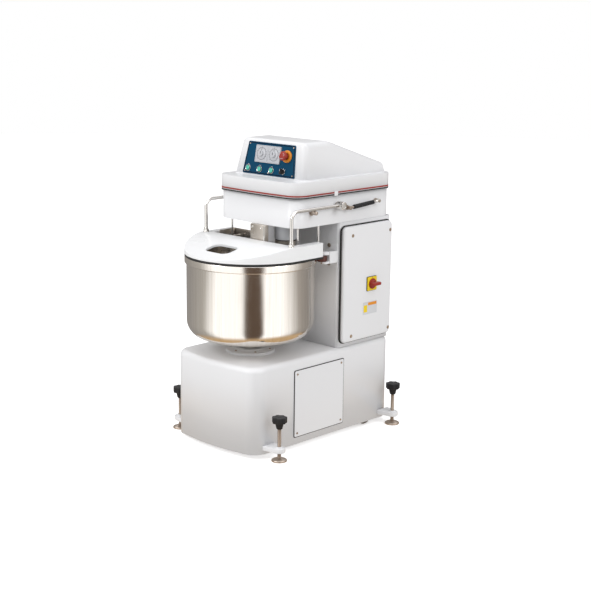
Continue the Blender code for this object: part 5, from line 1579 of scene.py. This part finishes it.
def makeGuards():
    look = guardLook
    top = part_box("bowl_guard_right")[1].z
    low = look["low"]
    for name, side in (("left", -1), ("right", 1)):
        x = side * look["x"]
        node = "bowl_guard_" + name
        corner = arcPoints((look["front"] + look["bend"], low + look["bend"]), look["bend"], 180, 270, 8)
        corner += arcPoints((look["rear"] - look["bend"], low + look["bend"]), look["bend"], 270, 360, 8)
        points = [(x, look["front"], top)] + [(x, y, z) for y, z in corner] + [(x, look["rear"], top)]
        addPiece("guard_rod_" + name, tube(points, look["radius"], 20), chromePlate,
                 replaced=[node])
        nuts = bmesh.new()
        for y in (look["front"], look["rear"]):
            hexHead(nuts, (x, y, top), (0, 0, -1), 0.0078, 0.0070)
        addPiece("guard_nuts_" + name, nuts, zincPlate, replaced=[node])
    plates = block((-0.2315, -0.062, 0.854), (-0.030, -0.0596, 0.891), 0.0006, 2)
    merge(plates, block((-0.2315, -0.155, 0.854), (-0.2291, -0.0600, 0.891), 0.0006, 2))
    addPiece("guard_plates", plates, brushedSteel, replaced=["bowl_guard_left"])
    arm = block((-0.2291, -0.090, low - 0.004), (-0.199, -0.080, low + 0.003), 0.0010, 2)
    addPiece("guard_arm", arm, greyPaint, replaced=["bowl_guard_left"])


# Rollers, feet, wheels and gland.

def makeRollers():
    for name, side in (("left", -1), ("right", 1)):
        low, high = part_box("bowl_roller_" + name)
        middle = (low + high) / 2
        x, y, z = middle
        radius = (high.x - low.x) / 2
        roller = spun([(0.0058, 0.0125), (0.0095, 0.0125), (0.0100, 0.0112), (radius - 0.004, 0.0112),
                       (radius - 0.002, 0.0122), (radius - 0.0005, 0.0108), (radius, 0.0085),
                       (radius, -0.0085),
                       (radius - 0.0005, -0.0108), (radius - 0.002, -0.0122), (radius - 0.004, -0.0112),
                       (0.0100, -0.0112), (0.0095, -0.0125), (0.0058, -0.0125), (0.0058, 0.0125)], 64)
        roller.transform(Matrix.Translation((x, y, z)))
        addPiece("roller_" + name, roller, rollerNylon, replaced=["bowl_roller_" + name])
        node = "roller_bracket_" + name
        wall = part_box(node)[1].y
        edges = sorted((side * 0.203, side * 0.2385))
        bracket = bmesh.new()
        for foot, head in ((z - 0.024, z - 0.0141), (z + 0.0141, z + 0.028)):
            outline = arcPoints((x, y + 0.014), 0.0176, 180, 360, 20)
            outline = [(min(max(px, edges[0]), edges[1]), py) for px, py in outline]
            outline = [(edges[0], wall - 0.0055)] + outline[1:-1] + [(edges[1], wall - 0.0055)]
            arm = prism(outline, foot, head)
            roundOff(arm, sharpEdges(arm), 0.0010, 2)
            merge(bracket, arm)
        merge(bracket, block((edges[0] + 0.001, y + 0.026, z - 0.024),
                             (edges[1] - 0.001, wall - 0.0050, z + 0.028), 0.001, 1))
        reach = sorted((side * 0.168, side * 0.2365))
        merge(bracket, block((reach[0], wall - 0.0057, z - 0.045), (reach[1], wall, z + 0.056), 0.0012, 2))
        addPiece("bracket_" + name, bracket, whitePaint, replaced=[node])
        bolts = bmesh.new()
        for level in (z - 0.036, z + 0.045):
            hexHead(bolts, (side * 0.187, wall - 0.0056, level), (0, -1, 0), 0.0072, 0.0060)
        merge(bolts, tube([(x, y, z - 0.0235), (x, y, z + 0.0275)], 0.0052, 20))
        hexHead(bolts, (x, y, z + 0.0235), (0, 0, 1), 0.0070, 0.0055)
        addPiece("bracket_bolts_" + name, bolts, zincPlate, replaced=[node])


footLook = {"pitch": 0.0020, "thread": 0.0080, "root": 0.0072, "lobes": 7, "knobRadius": 0.0325}


def makeFeet():
    look = footLook
    for name in ("front_left", "front_right", "rear_left", "rear_right"):
        low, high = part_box("foot_spindle_" + name)
        x, y = (low.x + high.x) / 2, (low.y + high.y) / 2
        pad = (high.x - low.x) / 2
        body = "foot_" + name
        stand = Matrix.Translation((x, y, 0))
        base = spun([(0.0, 0.0), (pad - 0.0010, 0.0), (pad, 0.0010), (pad, 0.0052), (pad - 0.0010, 0.0066),
                     (pad - 0.0040, 0.0086), (0.0165, 0.0128), (0.0140, 0.0142), (0.0118, 0.0158),
                     (0.0, 0.0160)], 64)
        base.transform(stand)
        addPiece("foot_pad_" + name, base, zincPlate, body=body, replaced=["foot_spindle_" + name])
        profile = [(0.0, 0.0150), (look["root"], 0.0150)]
        level = 0.0170
        while level < high.z - 0.028:
            profile += [(look["root"], level), (look["thread"], level + look["pitch"] * 0.4)]
            profile.append((look["root"], level + look["pitch"] * 0.8))
            level += look["pitch"]
        profile += [(look["root"], high.z - 0.0005), (0.0, high.z - 0.0005)]
        spindle = spun(profile, 28)
        spindle.transform(stand)
        addPiece("foot_thread_" + name, spindle, zincPlate, body=body,
                 replaced=["foot_spindle_" + name], angle=25)
        makeFootKnob(name, x, y, body)


def makeFootKnob(name, x, y, body):
    look = footLook
    low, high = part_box("foot_knob_" + name)
    outline = []
    for step in range(84):
        turn = 2 * pi * step / 84
        reach = look["knobRadius"] - 0.0002 - 0.0045 * (1 - cos(look["lobes"] * turn)) / 2
        outline.append((reach * cos(turn), reach * sin(turn)))
    knob = prism(outline, low.z, high.z)
    roundOff(knob, sharpEdges(knob, angle=1.0), 0.0035, 4)
    merge(knob, spun([(0.0, high.z + 0.0001), (0.0100, high.z + 0.0001), (0.0120, high.z - 0.001),
                      (0.0, high.z - 0.002)], 32))
    merge(knob, spun([(0.0084, low.z + 0.003), (0.0180, low.z + 0.003), (0.0172, low.z - 0.006),
                      (0.0130, low.z - 0.0240), (0.0120, low.z - 0.0255), (0.0084, low.z - 0.0255)], 40))
    knob.transform(Matrix.Translation((x, y, 0)))
    addPiece("knob_" + name, knob, blackPlastic, body=body, replaced=["foot_knob_" + name])


def makeWheels():
    for name in ("left", "right"):
        low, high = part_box("rear_wheel_" + name)
        middle = (low + high) / 2
        half = (high.x - low.x) / 2
        radius = (high.z - low.z) / 2
        profile = [(radius - 0.013, -half + 0.001), (radius - 0.006, -half), (radius - 0.002, -half + 0.0016)]
        profile += [(radius, -half + 0.005), (radius, -0.0012), (radius - 0.001, -0.0006),
                    (radius - 0.001, 0.0006)]
        profile += [(radius, 0.0012), (radius, half - 0.005), (radius - 0.002, half - 0.0016)]
        profile += [(radius - 0.006, half), (radius - 0.013, half - 0.001), (radius - 0.013, -half + 0.001)]
        tyre = spun(profile, 72)
        tyre.transform(facing(middle, (1, 0, 0)))
        addPiece("wheel_tyre_" + name, tyre, tyreRubber, body="wheel_" + name,
                 replaced=["rear_wheel_" + name])
        rim = radius - 0.0128
        hub = spun([(0.0086, -half + 0.0005), (0.0150, -half + 0.0005), (0.0160, -half + 0.0030),
                    (rim - 0.004, -half + 0.0050), (rim - 0.002, -half + 0.0030), (rim, -half + 0.0030),
                    (rim, half - 0.0030), (rim - 0.002, half - 0.0030), (rim - 0.004, half - 0.0050),
                    (0.0160, half - 0.0030), (0.0150, half - 0.0005), (0.0086, half - 0.0005),
                    (0.0086, -half + 0.0005)], 56)
        hub.transform(facing(middle, (1, 0, 0)))
        addPiece("wheel_hub_" + name, hub, greyPaint, body="wheel_" + name,
                 replaced=["rear_wheel_" + name])


def makeGland():
    low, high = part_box("cable_gland")
    middle = (low + high) / 2
    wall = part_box("column_casing")[1].y
    stand = facing((middle.x, wall, middle.z), (0, 1, 0))
    gland = spun([(0.0045, -0.0158), (0.0112, -0.0158), (0.0112, 0.0003), (0.0158, 0.0003), (0.0162, 0.0008),
                  (0.0162, 0.0042), (0.0118, 0.0046), (0.0122, 0.0130), (0.0112, 0.0160), (0.0092, 0.0178),
                  (0.0045, 0.0178), (0.0045, -0.0158)], 40)
    hexagon = bmesh.new()
    bmesh.ops.create_cone(hexagon, cap_ends=True, segments=6, radius1=0.0150, radius2=0.0150, depth=0.0046,
                          matrix=Matrix.Translation((0, 0, 0.0068)))
    gland.transform(stand)
    hexagon = cutAway(hexagon, spun([(0.0, 0.02), (0.0060, 0.02), (0.0060, -0.02), (0.0, -0.02)], 24))
    hexagon.transform(stand)
    merge(gland, hexagon)
    addPiece("gland_body", gland, blackPlastic, replaced=["cable_gland"])


# Nodes kept as they are, hidden inside the casings, get the finish of what they are made of.

def dressKeptNodes():
    finishes = {"bowl_pulley": castIron, "bowl_motor_pulley": castIron, "spiral_pulley": castIron,
                "main_motor_pulley": castIron, "bowl_belt": blackRubber, "spiral_belt": blackRubber,
                "bowl_motor": motorPaint, "main_motor": motorPaint, "electrical_plate": zincPlate}
    for name, material in finishes.items():
        for holder in nodes[name].material_slots:
            holder.material = material


makeBowl()
makeBowlBearing()
makeLid()
makeLidSeal()
makeArms()
makePivot()
makeGasSpring()
makeLidStop()
print("stage: bowl and lid")
makeBreaker()
makeSpiral()
makeSpiralHousing()
makeGuards()
print("stage: mixing tools")
makeRollers()
makeFeet()
makeWheels()
makeGland()
dressKeptNodes()
print("stage: fittings")
